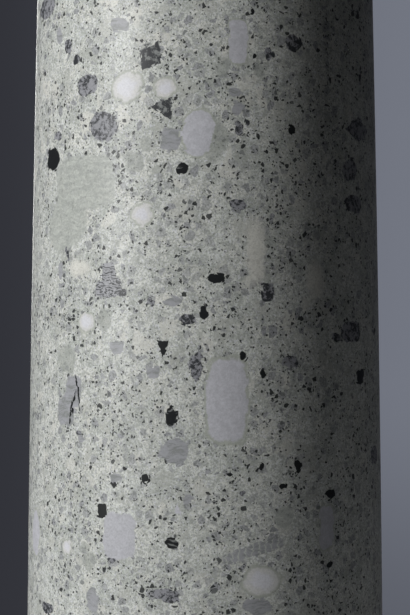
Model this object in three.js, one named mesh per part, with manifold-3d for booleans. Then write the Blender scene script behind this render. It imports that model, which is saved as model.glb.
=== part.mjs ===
// Pedestal column stand. A turned and polished conglomerate shaft, swelling gently towards its foot,
// stands on a round base slab and carries a round top slab. The shaft is core-drilled, and a steel tie
// rod down the bore pulls a yoke plate near the neck towards a base plate hidden under the base slab.
// Both stone joints have a resin bed and steel dowels. Four levelling feet screw into sockets welded on
// the base plate.
// Millimetres, +Z up, origin on the floor under the middle of the column, front towards -Y.

import * as THREE from "three";
import { mergeVertices } from "three/addons/utils/BufferGeometryUtils.js";
import Module from "manifold-3d";

// ---- Driving dimensions ----

const TOTAL_HEIGHT = 1000;
const SEAT_GAP = 0.3; // between any two pieces that seat on or in each other

// Shaft: three diameters set its entasis.
const SHAFT_FOOT_DIAMETER = 310;
const SHAFT_MIDDLE_DIAMETER = 300;
const SHAFT_NECK_DIAMETER = 281;
const SHAFT_BORE_DIAMETER = 50;
const SHAFT_ARRIS = 2;

// Slabs.
const TOP_SLAB_OVERHANG = 20;
const TOP_SLAB_THICKNESS = 30;
const TOP_SLAB_EDGE_RADIUS = 4;
const BASE_SLAB_OVERHANG = 20;
const BASE_SLAB_THICKNESS = 50;
const BASE_SLAB_EDGE_RADIUS = 8;
const SLAB_ARRIS = 2;

// Resin beds in the two stone joints.
const BED_THICKNESS = 1;
const BED_SETBACK = 3; // from the shaft's edge to the bed's edge
const BED_INNER_MARGIN = 6; // from the hole that the bed surrounds to the bed's inner edge

// Dowels.
const TOP_DOWEL_COUNT = 3;
const TOP_DOWEL_DIAMETER = 10;
const TOP_DOWEL_COVER = 12; // stone left above each hole in the top slab
const BASE_DOWEL_COUNT = 4;
const BASE_DOWEL_DIAMETER = 12;
const BASE_DOWEL_COVER = 11; // stone left between each hole in the base slab and its recess
const DOWEL_CHAMFER = 1;

// Nuts, in the usual proportions to their thread.
const NUT_FLATS_PER_THREAD = 1.5;
const FULL_NUT_HEIGHT_PER_THREAD = 0.8;
const THIN_NUT_HEIGHT_PER_THREAD = 0.5;

// Tie rod, and the yoke that it pulls down.
const ROD_DIAMETER = 16;
const ROD_CHAMFER = 1;
const ROD_HOLE_CLEARANCE = 2; // all round the rod, in the base slab
const ROD_WASHER_RIM = 12; // from the rod to the washer's edge
const ROD_WASHER_THICKNESS = 3;
const ROD_END_LENGTH = 5; // past the lock nut
const ROD_SOCKET_WALL = 9;
const ROD_SOCKET_HEIGHT = 24;
const YOKE_BEARING = 15; // width of the ledge that the yoke plate bears on
const YOKE_THICKNESS = 12;
const YOKE_GASKET_THICKNESS = 3;
const YOKE_POCKET_CLEARANCE = 3; // all round the yoke plate
const YOKE_POCKET_HEADROOM = 14; // above the rod's end

// Base plate, in a recess under the base slab.
const PLATE_INSET = 27; // from the slab's edge to the plate's edge
const PLATE_RISE = 7; // from the slab's lower edge up to the plate
const PLATE_THICKNESS = 8;
const PLATE_CHAMFER = 1;
const PLATE_RECESS_CLEARANCE = 2; // all round the plate
const PLATE_GASKET_THICKNESS = 1.5;
const PLATE_GASKET_SETBACK = 4; // from the plate's edge to the gasket's edge

// Levelling feet.
const FOOT_NAMES = ["front_right", "back_right", "back_left", "front_left"];
const FIRST_FOOT_ANGLE = -Math.PI / 4;
const FOOT_INSET = 36; // from the plate's edge to each stud's middle
const THREAD_DIAMETER = 12;
const STUD_CHAMFER = 1;
const STUD_HEX_HEIGHT = 4;
const STUD_PIVOT_STEP = 2; // from the thread in to the pivot that turns in the pad
const FOOT_SOCKET_WALL = 7;
const FOOT_SOCKET_HEIGHT = 16;
const SOCKET_POCKET_CLEARANCE = 2; // round and above each welded socket
const PAD_DIAMETER = 46;
const PAD_HUB_WALL = 7; // round the pivot
const PAD_RIM_WIDTH = 3; // round the sole
const PAD_RIM_HEIGHT = 3.5;
const PAD_HEIGHT = 6.5;
const PAD_WEB = 1.5; // between the pivot and the sole
const SOLE_THICKNESS = 3;
const SOLE_PROUD = 1.5; // below the pad's rim

// Fineness of round surfaces.
const LARGE_SEGMENTS = 48;
const SMALL_SEGMENTS = 16;
const ENTASIS_STEPS = 8;
const EDGE_STEPS = 3;

// ---- Levels, from the floor up ----

const STUD_FLATS = NUT_FLATS_PER_THREAD * THREAD_DIAMETER;
const LOCK_NUT_HEIGHT = THIN_NUT_HEIGHT_PER_THREAD * THREAD_DIAMETER;
const SOLE_SEAT = SOLE_THICKNESS + SEAT_GAP;
const PIVOT_HOLE_FLOOR = SOLE_SEAT + PAD_WEB;
const PAD_TOP = SOLE_PROUD + PAD_HEIGHT;
const STUD_HEX_BOTTOM = PAD_TOP + SEAT_GAP;
const LOCK_NUT_BOTTOM = STUD_HEX_BOTTOM + STUD_HEX_HEIGHT + SEAT_GAP;
const PLATE_BOTTOM = LOCK_NUT_BOTTOM + LOCK_NUT_HEIGHT + SEAT_GAP;
const PLATE_TOP = PLATE_BOTTOM + PLATE_THICKNESS;
const SOCKET_BOTTOM = PLATE_TOP + SEAT_GAP;
const GASKET_BOTTOM = PLATE_TOP + SEAT_GAP;
const RECESS_TOP = GASKET_BOTTOM + PLATE_GASKET_THICKNESS + SEAT_GAP;
const BASE_SLAB_BOTTOM = PLATE_BOTTOM - PLATE_RISE;
const BASE_SLAB_TOP = BASE_SLAB_BOTTOM + BASE_SLAB_THICKNESS;
const BASE_BED_BOTTOM = BASE_SLAB_TOP + SEAT_GAP;
const SHAFT_BOTTOM = BASE_BED_BOTTOM + BED_THICKNESS + SEAT_GAP;
const TOP_SLAB_BOTTOM = TOTAL_HEIGHT - TOP_SLAB_THICKNESS;
const TOP_BED_BOTTOM = TOP_SLAB_BOTTOM - SEAT_GAP - BED_THICKNESS;
const SHAFT_TOP = TOP_BED_BOTTOM - SEAT_GAP;
const SHAFT_LENGTH = SHAFT_TOP - SHAFT_BOTTOM;
const TOP_DOWEL_DEPTH = TOP_SLAB_THICKNESS - TOP_DOWEL_COVER;
const BASE_DOWEL_DEPTH = BASE_SLAB_TOP - RECESS_TOP - BASE_DOWEL_COVER;

// The yoke's stack stands on the floor of a pocket in the shaft's top, from the gasket up to the rod's end.
const YOKE_STACK = [
  ["gasket", YOKE_GASKET_THICKNESS],
  ["yoke", YOKE_THICKNESS],
  ["washer", ROD_WASHER_THICKNESS],
  ["nut", FULL_NUT_HEIGHT_PER_THREAD * ROD_DIAMETER],
  ["lockNut", THIN_NUT_HEIGHT_PER_THREAD * ROD_DIAMETER],
];
const YOKE_STACK_HEIGHT = YOKE_STACK.reduce((sum, [, thickness]) => sum + SEAT_GAP + thickness, 0);
const YOKE_POCKET_DEPTH = YOKE_STACK_HEIGHT + ROD_END_LENGTH + YOKE_POCKET_HEADROOM;
const YOKE_POCKET_FLOOR = SHAFT_TOP - YOKE_POCKET_DEPTH;
const YOKE_LEVELS = {};
YOKE_STACK.reduce((level, [name, thickness]) => {
  YOKE_LEVELS[name] = level + SEAT_GAP;
  return level + SEAT_GAP + thickness;
}, YOKE_POCKET_FLOOR);
const ROD_BOTTOM = PLATE_TOP + SEAT_GAP;
const ROD_TOP = YOKE_POCKET_FLOOR + YOKE_STACK_HEIGHT + ROD_END_LENGTH;

// ---- Radii and circles that follow from the driving dimensions ----

const FOOT_RADIUS = SHAFT_FOOT_DIAMETER / 2;
const MIDDLE_RADIUS = SHAFT_MIDDLE_DIAMETER / 2;
const NECK_RADIUS = SHAFT_NECK_DIAMETER / 2;
const BORE_RADIUS = SHAFT_BORE_DIAMETER / 2;
const BASE_SLAB_RADIUS = FOOT_RADIUS + BASE_SLAB_OVERHANG;
const YOKE_RADIUS = BORE_RADIUS + YOKE_BEARING;
const YOKE_POCKET_RADIUS = YOKE_RADIUS + YOKE_POCKET_CLEARANCE;
const TOP_DOWEL_CIRCLE = (YOKE_POCKET_RADIUS + NECK_RADIUS) / 2;
const BASE_DOWEL_CIRCLE = (BORE_RADIUS + FOOT_RADIUS) / 2;
const ROD_RADIUS = ROD_DIAMETER / 2;
const ROD_SOCKET_RADIUS = ROD_RADIUS + ROD_SOCKET_WALL;
const PLATE_RADIUS = BASE_SLAB_RADIUS - PLATE_INSET;
const FOOT_CIRCLE = PLATE_RADIUS - FOOT_INSET;
const THREAD_RADIUS = THREAD_DIAMETER / 2;
const THREAD_HOLE_RADIUS = THREAD_RADIUS + SEAT_GAP;
const FOOT_SOCKET_RADIUS = THREAD_RADIUS + FOOT_SOCKET_WALL;
const PIVOT_RADIUS = THREAD_RADIUS - STUD_PIVOT_STEP;
const PAD_RADIUS = PAD_DIAMETER / 2;
const SOLE_RADIUS = PAD_RADIUS - PAD_RIM_WIDTH;

// ---- Colours ----

function finish(color, roughness, metalness) {
  return new THREE.MeshStandardMaterial({ color, roughness, metalness });
}

const STONE = finish(0xb7bab1, 0.3, 0);
const RESIN = finish(0x8d8f86, 0.5, 0);
const BLACK_STEEL = finish(0x26272a, 0.5, 0.8);
const ZINC_STEEL = finish(0xb4b6b5, 0.35, 0.9);
const STAINLESS = finish(0xc6c7c4, 0.3, 1);
const RUBBER = finish(0x1c1c1d, 0.85, 0);

// ---- Solids ----

const wasm = await Module();
wasm.setup();

function solidOf(geometry) {
  const bare = new THREE.BufferGeometry();
  bare.setAttribute("position", geometry.getAttribute("position"));
  bare.setIndex(geometry.index);
  const merged = mergeVertices(bare, 1e-4);
  return new wasm.Manifold(
    new wasm.Mesh({
      numProp: 3,
      vertProperties: merged.getAttribute("position").array,
      triVerts: new Uint32Array(merged.index.array),
    }),
  );
}

function geometryOf(solid) {
  const { numProp, vertProperties, triVerts } = solid.getMesh();
  const positions = new Float32Array((vertProperties.length / numProp) * 3);
  for (let i = 0; i < positions.length / 3; i += 1) {
    positions.set(vertProperties.subarray(i * numProp, i * numProp + 3), i * 3);
  }
  const geometry = new THREE.BufferGeometry();
  geometry.setAttribute("position", new THREE.BufferAttribute(positions, 3));
  geometry.setIndex(new THREE.BufferAttribute(triVerts, 1));
  geometry.computeVertexNormals();
  return geometry;
}

// A body turned about Z from a profile of (radius, height), which runs up its outer side.
function turned(profile, segments) {
  return new THREE.LatheGeometry(profile, segments).rotateX(Math.PI / 2);
}

const profileOf = (...pairs) => pairs.map(([radius, height]) => new THREE.Vector2(radius, height));

function rod(radius, bottom, top, segments = SMALL_SEGMENTS) {
  return turned(profileOf([0, bottom], [radius, bottom], [radius, top], [0, top]), segments);
}

function chamferedRod(radius, chamfer, bottom, top, segments = SMALL_SEGMENTS) {
  return turned(
    profileOf(
      [0, bottom],
      [radius - chamfer, bottom],
      [radius, bottom + chamfer],
      [radius, top - chamfer],
      [radius - chamfer, top],
      [0, top],
    ),
    segments,
  );
}

function ring(innerRadius, outerRadius, thickness, segments = SMALL_SEGMENTS) {
  return turned(
    profileOf(
      [innerRadius, 0],
      [outerRadius, 0],
      [outerRadius, thickness],
      [innerRadius, thickness],
      [innerRadius, 0],
    ),
    segments,
  );
}

// A hexagonal prism on Z with its corners turned off at 30 degrees.
function hexagon(flats, height) {
  const corner = flats / Math.sqrt(3);
  const drop = (corner - flats / 2) * Math.tan(Math.PI / 6);
  const prism = new THREE.CylinderGeometry(corner, corner, height, 6).rotateX(Math.PI / 2);
  prism.translate(0, 0, height / 2);
  const turning = turned(
    profileOf(
      [0, 0],
      [flats / 2, 0],
      [corner, drop],
      [corner, height - drop],
      [flats / 2, height],
      [0, height],
    ),
    SMALL_SEGMENTS,
  );
  return solidOf(prism).intersect(solidOf(turning));
}

function nutGeometry(threadDiameter, height) {
  const hole = rod(threadDiameter / 2 + SEAT_GAP, -1, height + 1);
  return geometryOf(hexagon(NUT_FLATS_PER_THREAD * threadDiameter, height).subtract(solidOf(hole)));
}

// Cuts the same tool at even steps round a circle out of a solid.
function cutRound(solid, tool, count, circleRadius, firstAngle = 0) {
  let cut = solid;
  for (const [x, y] of placesRound(count, circleRadius, firstAngle)) {
    cut = cut.subtract(solidOf(tool.clone().translate(x, y, 0)));
  }
  return cut;
}

function placesRound(count, circleRadius, firstAngle = 0) {
  return Array.from({ length: count }, (_, i) => {
    const angle = firstAngle + (i * 2 * Math.PI) / count;
    return [circleRadius * Math.cos(angle), circleRadius * Math.sin(angle), angle];
  });
}

const FOOT_PLACES = placesRound(FOOT_NAMES.length, FOOT_CIRCLE, FIRST_FOOT_ANGLE);

const cutAtFeet = (solid, tool) => cutRound(solid, tool, FOOT_NAMES.length, FOOT_CIRCLE, FIRST_FOOT_ANGLE);

function piece(name, geometry, material, level = 0) {
  const mesh = new THREE.Mesh(geometry, material);
  mesh.name = name;
  mesh.position.z = level;
  return mesh;
}

// ---- Stone ----

// The shaft's own zero is its foot. Its outline is a parabola through the three diameters.
function shaft() {
  const outline = new THREE.Path();
  const arc = SHAFT_ARRIS;
  const bulge = 2 * MIDDLE_RADIUS - (FOOT_RADIUS + NECK_RADIUS) / 2;
  const pocketFloor = SHAFT_LENGTH - YOKE_POCKET_DEPTH;
  outline.moveTo(BORE_RADIUS, 0);
  outline.lineTo(FOOT_RADIUS - arc, 0);
  outline.quadraticCurveTo(FOOT_RADIUS, 0, FOOT_RADIUS, arc);
  const lower = outline.getPoints(EDGE_STEPS);
  const side = new THREE.QuadraticBezierCurve(
    new THREE.Vector2(FOOT_RADIUS, arc),
    new THREE.Vector2(bulge, SHAFT_LENGTH / 2),
    new THREE.Vector2(NECK_RADIUS, SHAFT_LENGTH - arc),
  ).getPoints(ENTASIS_STEPS);
  const head = new THREE.Path();
  head.moveTo(NECK_RADIUS, SHAFT_LENGTH - arc);
  head.quadraticCurveTo(NECK_RADIUS, SHAFT_LENGTH, NECK_RADIUS - arc, SHAFT_LENGTH);
  head.lineTo(YOKE_POCKET_RADIUS, SHAFT_LENGTH);
  head.lineTo(YOKE_POCKET_RADIUS, pocketFloor);
  head.lineTo(BORE_RADIUS, pocketFloor);
  head.lineTo(BORE_RADIUS, 0);
  const profile = [...lower, ...side.slice(1), ...head.getPoints(EDGE_STEPS).slice(1)];
  let body = solidOf(turned(profile, LARGE_SEGMENTS));
  const topHole = rod(
    TOP_DOWEL_DIAMETER / 2 + SEAT_GAP,
    SHAFT_LENGTH - TOP_DOWEL_DEPTH - SEAT_GAP,
    SHAFT_LENGTH + 1,
  );
  body = cutRound(body, topHole, TOP_DOWEL_COUNT, TOP_DOWEL_CIRCLE);
  const footHole = rod(BASE_DOWEL_DIAMETER / 2 + SEAT_GAP, -1, BASE_DOWEL_DEPTH + SEAT_GAP);
  body = cutRound(body, footHole, BASE_DOWEL_COUNT, BASE_DOWEL_CIRCLE);
  return piece("shaft", geometryOf(body), STONE, SHAFT_BOTTOM);
}

// A turned slab with a rounded upper edge and a fine arris below.
function slabSolid(radius, thickness, edgeRadius) {
  const outline = new THREE.Path();
  outline.moveTo(0, 0);
  outline.lineTo(radius - SLAB_ARRIS, 0);
  outline.quadraticCurveTo(radius, 0, radius, SLAB_ARRIS);
  outline.lineTo(radius, thickness - edgeRadius);
  outline.absarc(radius - edgeRadius, thickness - edgeRadius, edgeRadius, 0, Math.PI / 2, false);
  outline.lineTo(0, thickness);
  return solidOf(turned(outline.getPoints(EDGE_STEPS), LARGE_SEGMENTS));
}

function topSlab() {
  const radius = NECK_RADIUS + TOP_SLAB_OVERHANG;
  const slab = slabSolid(radius, TOP_SLAB_THICKNESS, TOP_SLAB_EDGE_RADIUS);
  const hole = rod(TOP_DOWEL_DIAMETER / 2 + SEAT_GAP, -1, TOP_DOWEL_DEPTH + SEAT_GAP);
  const drilled = cutRound(slab, hole, TOP_DOWEL_COUNT, TOP_DOWEL_CIRCLE);
  return piece("top_slab", geometryOf(drilled), STONE, TOP_SLAB_BOTTOM);
}

function baseSlab() {
  const above = BASE_SLAB_THICKNESS + 1;
  const recessTop = RECESS_TOP - BASE_SLAB_BOTTOM;
  const pocketTop = (height) => SOCKET_BOTTOM - BASE_SLAB_BOTTOM + height + SOCKET_POCKET_CLEARANCE;
  const recess = rod(PLATE_RADIUS + PLATE_RECESS_CLEARANCE, -1, recessTop, LARGE_SEGMENTS);
  const rodPocket = rod(
    ROD_SOCKET_RADIUS + SOCKET_POCKET_CLEARANCE,
    recessTop - 1,
    pocketTop(ROD_SOCKET_HEIGHT),
  );
  const rodHole = rod(ROD_RADIUS + ROD_HOLE_CLEARANCE, recessTop - 1, above);
  const footPocket = rod(
    FOOT_SOCKET_RADIUS + SOCKET_POCKET_CLEARANCE,
    recessTop - 1,
    pocketTop(FOOT_SOCKET_HEIGHT),
  );
  const dowelHole = rod(
    BASE_DOWEL_DIAMETER / 2 + SEAT_GAP,
    BASE_SLAB_THICKNESS - BASE_DOWEL_DEPTH - SEAT_GAP,
    above,
  );
  let slab = slabSolid(BASE_SLAB_RADIUS, BASE_SLAB_THICKNESS, BASE_SLAB_EDGE_RADIUS);
  for (const tool of [recess, rodPocket, rodHole]) slab = slab.subtract(solidOf(tool));
  slab = cutAtFeet(slab, footPocket);
  slab = cutRound(slab, dowelHole, BASE_DOWEL_COUNT, BASE_DOWEL_CIRCLE);
  return piece("base_slab", geometryOf(slab), STONE, BASE_SLAB_BOTTOM);
}

// ---- Joints between the stones ----

function bed(name, innerRadius, outerRadius, dowelDiameter, dowelCount, dowelCircle, level) {
  const hole = rod(dowelDiameter / 2 + SEAT_GAP, -1, BED_THICKNESS + 1);
  const blank = solidOf(ring(innerRadius, outerRadius, BED_THICKNESS, LARGE_SEGMENTS));
  return piece(name, geometryOf(cutRound(blank, hole, dowelCount, dowelCircle)), RESIN, level);
}

const topBed = () =>
  bed(
    "top_joint_bed",
    YOKE_POCKET_RADIUS + BED_INNER_MARGIN,
    NECK_RADIUS - BED_SETBACK,
    TOP_DOWEL_DIAMETER,
    TOP_DOWEL_COUNT,
    TOP_DOWEL_CIRCLE,
    TOP_BED_BOTTOM,
  );

const baseBed = () =>
  bed(
    "base_joint_bed",
    BORE_RADIUS + BED_INNER_MARGIN,
    FOOT_RADIUS - BED_SETBACK,
    BASE_DOWEL_DIAMETER,
    BASE_DOWEL_COUNT,
    BASE_DOWEL_CIRCLE,
    BASE_BED_BOTTOM,
  );

// Dowels stand half in each stone of a joint, whose two faces are at lower and upper.
function dowels(prefix, diameter, depth, count, circleRadius, lower, upper) {
  return placesRound(count, circleRadius).map(([x, y], i) => {
    const pin = chamferedRod(diameter / 2, DOWEL_CHAMFER, lower - depth, upper + depth);
    const mesh = piece(`${prefix}_${i + 1}`, pin, STAINLESS);
    mesh.position.set(x, y, 0);
    return mesh;
  });
}

const topDowels = () =>
  dowels(
    "top_dowel",
    TOP_DOWEL_DIAMETER,
    TOP_DOWEL_DEPTH,
    TOP_DOWEL_COUNT,
    TOP_DOWEL_CIRCLE,
    SHAFT_TOP,
    TOP_SLAB_BOTTOM,
  );

const baseDowels = () =>
  dowels(
    "base_dowel",
    BASE_DOWEL_DIAMETER,
    BASE_DOWEL_DEPTH,
    BASE_DOWEL_COUNT,
    BASE_DOWEL_CIRCLE,
    BASE_SLAB_TOP,
    SHAFT_BOTTOM,
  );

// ---- Tie rod ----

function tieRod() {
  const hole = ROD_RADIUS + SEAT_GAP;
  const nut = (height) => nutGeometry(ROD_DIAMETER, height);
  return [
    piece("tie_rod", chamferedRod(ROD_RADIUS, ROD_CHAMFER, ROD_BOTTOM, ROD_TOP), ZINC_STEEL),
    piece("tie_rod_socket", ring(hole, ROD_SOCKET_RADIUS, ROD_SOCKET_HEIGHT), BLACK_STEEL, SOCKET_BOTTOM),
    piece("yoke_gasket", ring(hole, YOKE_RADIUS, YOKE_GASKET_THICKNESS), RUBBER, YOKE_LEVELS.gasket),
    piece("yoke_plate", ring(hole, YOKE_RADIUS, YOKE_THICKNESS), BLACK_STEEL, YOKE_LEVELS.yoke),
    piece(
      "tie_rod_washer",
      ring(hole, ROD_RADIUS + ROD_WASHER_RIM, ROD_WASHER_THICKNESS),
      ZINC_STEEL,
      YOKE_LEVELS.washer,
    ),
    piece("tie_rod_nut", nut(FULL_NUT_HEIGHT_PER_THREAD * ROD_DIAMETER), ZINC_STEEL, YOKE_LEVELS.nut),
    piece(
      "tie_rod_lock_nut",
      nut(THIN_NUT_HEIGHT_PER_THREAD * ROD_DIAMETER),
      ZINC_STEEL,
      YOKE_LEVELS.lockNut,
    ),
  ];
}

// ---- Base plate ----

function basePlate() {
  const blank = solidOf(chamferedRod(PLATE_RADIUS, PLATE_CHAMFER, 0, PLATE_THICKNESS, LARGE_SEGMENTS));
  const drilled = cutAtFeet(blank, rod(THREAD_HOLE_RADIUS, -1, PLATE_THICKNESS + 1));
  return piece("base_plate", geometryOf(drilled), BLACK_STEEL, PLATE_BOTTOM);
}

function basePlateGasket() {
  const inner = ROD_SOCKET_RADIUS + SEAT_GAP;
  const outer = PLATE_RADIUS - PLATE_GASKET_SETBACK;
  const blank = solidOf(ring(inner, outer, PLATE_GASKET_THICKNESS, LARGE_SEGMENTS));
  const hole = rod(FOOT_SOCKET_RADIUS + SEAT_GAP, -1, PLATE_GASKET_THICKNESS + 1);
  return piece("base_plate_gasket", geometryOf(cutAtFeet(blank, hole)), RUBBER, GASKET_BOTTOM);
}

// ---- Levelling feet ----

// A threaded stud with a spanner hexagon, and a pivot that turns in the pad.
function studGeometry() {
  const top = SOCKET_BOTTOM + FOOT_SOCKET_HEIGHT;
  const thread = chamferedRod(THREAD_RADIUS, STUD_CHAMFER, STUD_HEX_BOTTOM, top);
  const pivot = rod(PIVOT_RADIUS, PIVOT_HOLE_FLOOR + SEAT_GAP, STUD_HEX_BOTTOM + 1);
  const hex = hexagon(STUD_FLATS, STUD_HEX_HEIGHT).translate([0, 0, STUD_HEX_BOTTOM]);
  return geometryOf(solidOf(thread).add(hex).add(solidOf(pivot)));
}

// A dished pad, with a socket for the stud's pivot above and a recess for the sole below.
function padGeometry() {
  const pivotHole = PIVOT_RADIUS + SEAT_GAP;
  const soleHole = SOLE_RADIUS + SEAT_GAP;
  return turned(
    profileOf(
      [0, SOLE_SEAT],
      [soleHole, SOLE_SEAT],
      [soleHole, SOLE_PROUD],
      [PAD_RADIUS, SOLE_PROUD],
      [PAD_RADIUS, SOLE_PROUD + PAD_RIM_HEIGHT],
      [PIVOT_RADIUS + PAD_HUB_WALL, PAD_TOP],
      [pivotHole, PAD_TOP],
      [pivotHole, PIVOT_HOLE_FLOOR],
      [0, PIVOT_HOLE_FLOOR],
    ),
    SMALL_SEGMENTS,
  );
}

function foot(name, [x, y, angle]) {
  const group = new THREE.Group();
  const lockNut = nutGeometry(THREAD_DIAMETER, LOCK_NUT_HEIGHT);
  const socket = ring(THREAD_HOLE_RADIUS, FOOT_SOCKET_RADIUS, FOOT_SOCKET_HEIGHT);
  group.position.set(x, y, 0);
  group.rotation.z = angle;
  group.add(
    piece(`${name}_foot_socket`, socket, BLACK_STEEL, SOCKET_BOTTOM),
    piece(`${name}_lock_nut`, lockNut, ZINC_STEEL, LOCK_NUT_BOTTOM),
    piece(`${name}_stud`, studGeometry(), ZINC_STEEL),
    piece(`${name}_pad`, padGeometry(), BLACK_STEEL),
    piece(`${name}_sole`, rod(SOLE_RADIUS, 0, SOLE_THICKNESS), RUBBER),
  );
  return group;
}

// ---- Assembly ----

const pedestal = new THREE.Group();
pedestal.add(shaft(), topSlab(), baseSlab(), topBed(), baseBed(), ...topDowels(), ...baseDowels());
pedestal.add(...tieRod(), basePlate(), basePlateGasket());
FOOT_NAMES.forEach((name, i) => pedestal.add(foot(name, FOOT_PLACES[i])));

export default pedestal;
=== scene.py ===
import functools
import math
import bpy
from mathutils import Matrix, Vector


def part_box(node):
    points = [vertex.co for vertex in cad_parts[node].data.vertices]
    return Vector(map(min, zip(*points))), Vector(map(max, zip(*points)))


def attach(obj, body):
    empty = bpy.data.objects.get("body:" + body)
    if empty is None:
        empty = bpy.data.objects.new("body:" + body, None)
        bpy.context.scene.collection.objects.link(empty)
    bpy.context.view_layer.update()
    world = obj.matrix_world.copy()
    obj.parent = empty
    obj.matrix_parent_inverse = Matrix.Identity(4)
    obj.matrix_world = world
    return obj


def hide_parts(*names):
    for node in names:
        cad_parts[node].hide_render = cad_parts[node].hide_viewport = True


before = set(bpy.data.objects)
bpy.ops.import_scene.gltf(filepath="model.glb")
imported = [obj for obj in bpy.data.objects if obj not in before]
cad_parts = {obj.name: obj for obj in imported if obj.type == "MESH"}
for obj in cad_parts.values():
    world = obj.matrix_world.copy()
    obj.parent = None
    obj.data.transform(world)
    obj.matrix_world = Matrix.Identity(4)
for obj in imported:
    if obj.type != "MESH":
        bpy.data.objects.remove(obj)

import types

import bmesh
import bpy
from mathutils import Vector

bl_info = {
    "name": "Pedestal column stand",
    "version": (1, 0, 0),
    "blender": (4, 5, 0),
    "location": "3D View > Sidebar > Pedestal",
    "description": "Builds a turned conglomerate pedestal with its tie rod and levelling feet",
    "category": "Object",
}

MM = 0.001

# ---- Real sizes and counts that the solids' boxes don't give, with lengths in metres ----

SEAT_GAP = 0.3 * MM
CUT_MARGIN = 1 * MM
STONE_ARRIS = 2 * MM
TOP_SLAB_EDGE = 4 * MM
BASE_SLAB_EDGE = 8 * MM
SHAFT_BORE_RADIUS = 25 * MM
YOKE_POCKET_RADIUS = 43 * MM
POCKET_CLEARANCE = 2 * MM
JOINT_BORE = {"top": YOKE_POCKET_RADIUS, "base": SHAFT_BORE_RADIUS}
BED_INNER_MARGIN = 6 * MM
DOWEL_COUNT = {"top": 3, "base": 4}
DOWEL_RADIUS = {"top": 5 * MM, "base": 6 * MM}
DOWEL_CHAMFER = 1 * MM
ROD_RADIUS = 8 * MM
ROD_SHANK_RADIUS = ROD_RADIUS - 0.3 * MM
ROD_CORE_RADIUS = ROD_RADIUS - 1.4 * MM
ROD_HOLE_RADIUS = 10 * MM
ROD_PITCH = 2 * MM
ROD_TOP_THREAD = 78 * MM
ROD_FOOT_THREAD = 34 * MM
ROD_STEP = 1 * MM
ROD_THREAD_LAP = 3 * MM
THREAD_CHAMFER = 1 * MM
STUD_RADIUS = 6 * MM
STUD_PITCH = 1.75 * MM
STUD_HEX_BOTTOM = 8.3 * MM
STUD_HEX_HEIGHT = 4 * MM
STUD_THREAD_LAP = 0.6 * MM
PIVOT_RADIUS = 4 * MM
PIVOT_CHAMFER = 0.4 * MM
NUT_FLATS_PER_THREAD = 1.5
NUT_MOUTH = 0.6 * MM
HEAVY_CHAMFER = 1.2 * MM
LIGHT_CHAMFER = 0.4 * MM
PLATE_CHAMFER = 1 * MM
GASKET_CHAMFER = 0.3 * MM
SOCKET_CHAMFER = 1 * MM
PAD_HUB_RADIUS = 11 * MM
PAD_RIM_HEIGHT = 3.5 * MM
PAD_EDGE = 0.8 * MM
PAD_GRIPS = 20
GRIP_RADIUS = 1.7 * MM
GRIP_OUTSET = 0.9 * MM
SOLE_EDGE = 0.5 * MM
SOLE_GROOVES = (5 * MM, 9 * MM, 13 * MM)
GROOVE_OUTLINE = ((0, 0), (0.3 * MM, 0.7 * MM), (1.5 * MM, 0.7 * MM), (1.8 * MM, 0))
FOOT_CIRCLE = 112 * MM
FEET = {"front_right": -45, "back_right": 45, "back_left": 135, "front_left": 225}
FOOT_RING = (len(FEET), FOOT_CIRCLE, FEET["front_right"])

# ---- Fineness of the meshes, angle of a sharp edge in degrees, and seeds of the stones' chips ----

SHAFT_RINGS = 48
WIDE_SEGMENTS = 128
PAD_SEGMENTS = 80
RING_SEGMENTS = 64
NUT_SEGMENTS = 48
BAR_SEGMENTS = 32
HOLE_SEGMENTS = 32
THREAD_SEGMENTS = 28
GRIP_SEGMENTS = 12
SHARP_ANGLE = 32
CHIP_SEEDS = {"shaft": 1.0, "top_slab": 2.0, "base_slab": 3.0}

# ---- Clasts that the photograph's face of the shaft shows ----
# By finish and shape: millimetres across and up from the middle of the view, on the plane through
# the column's axis, then width and height there, and turn in degrees.

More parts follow.
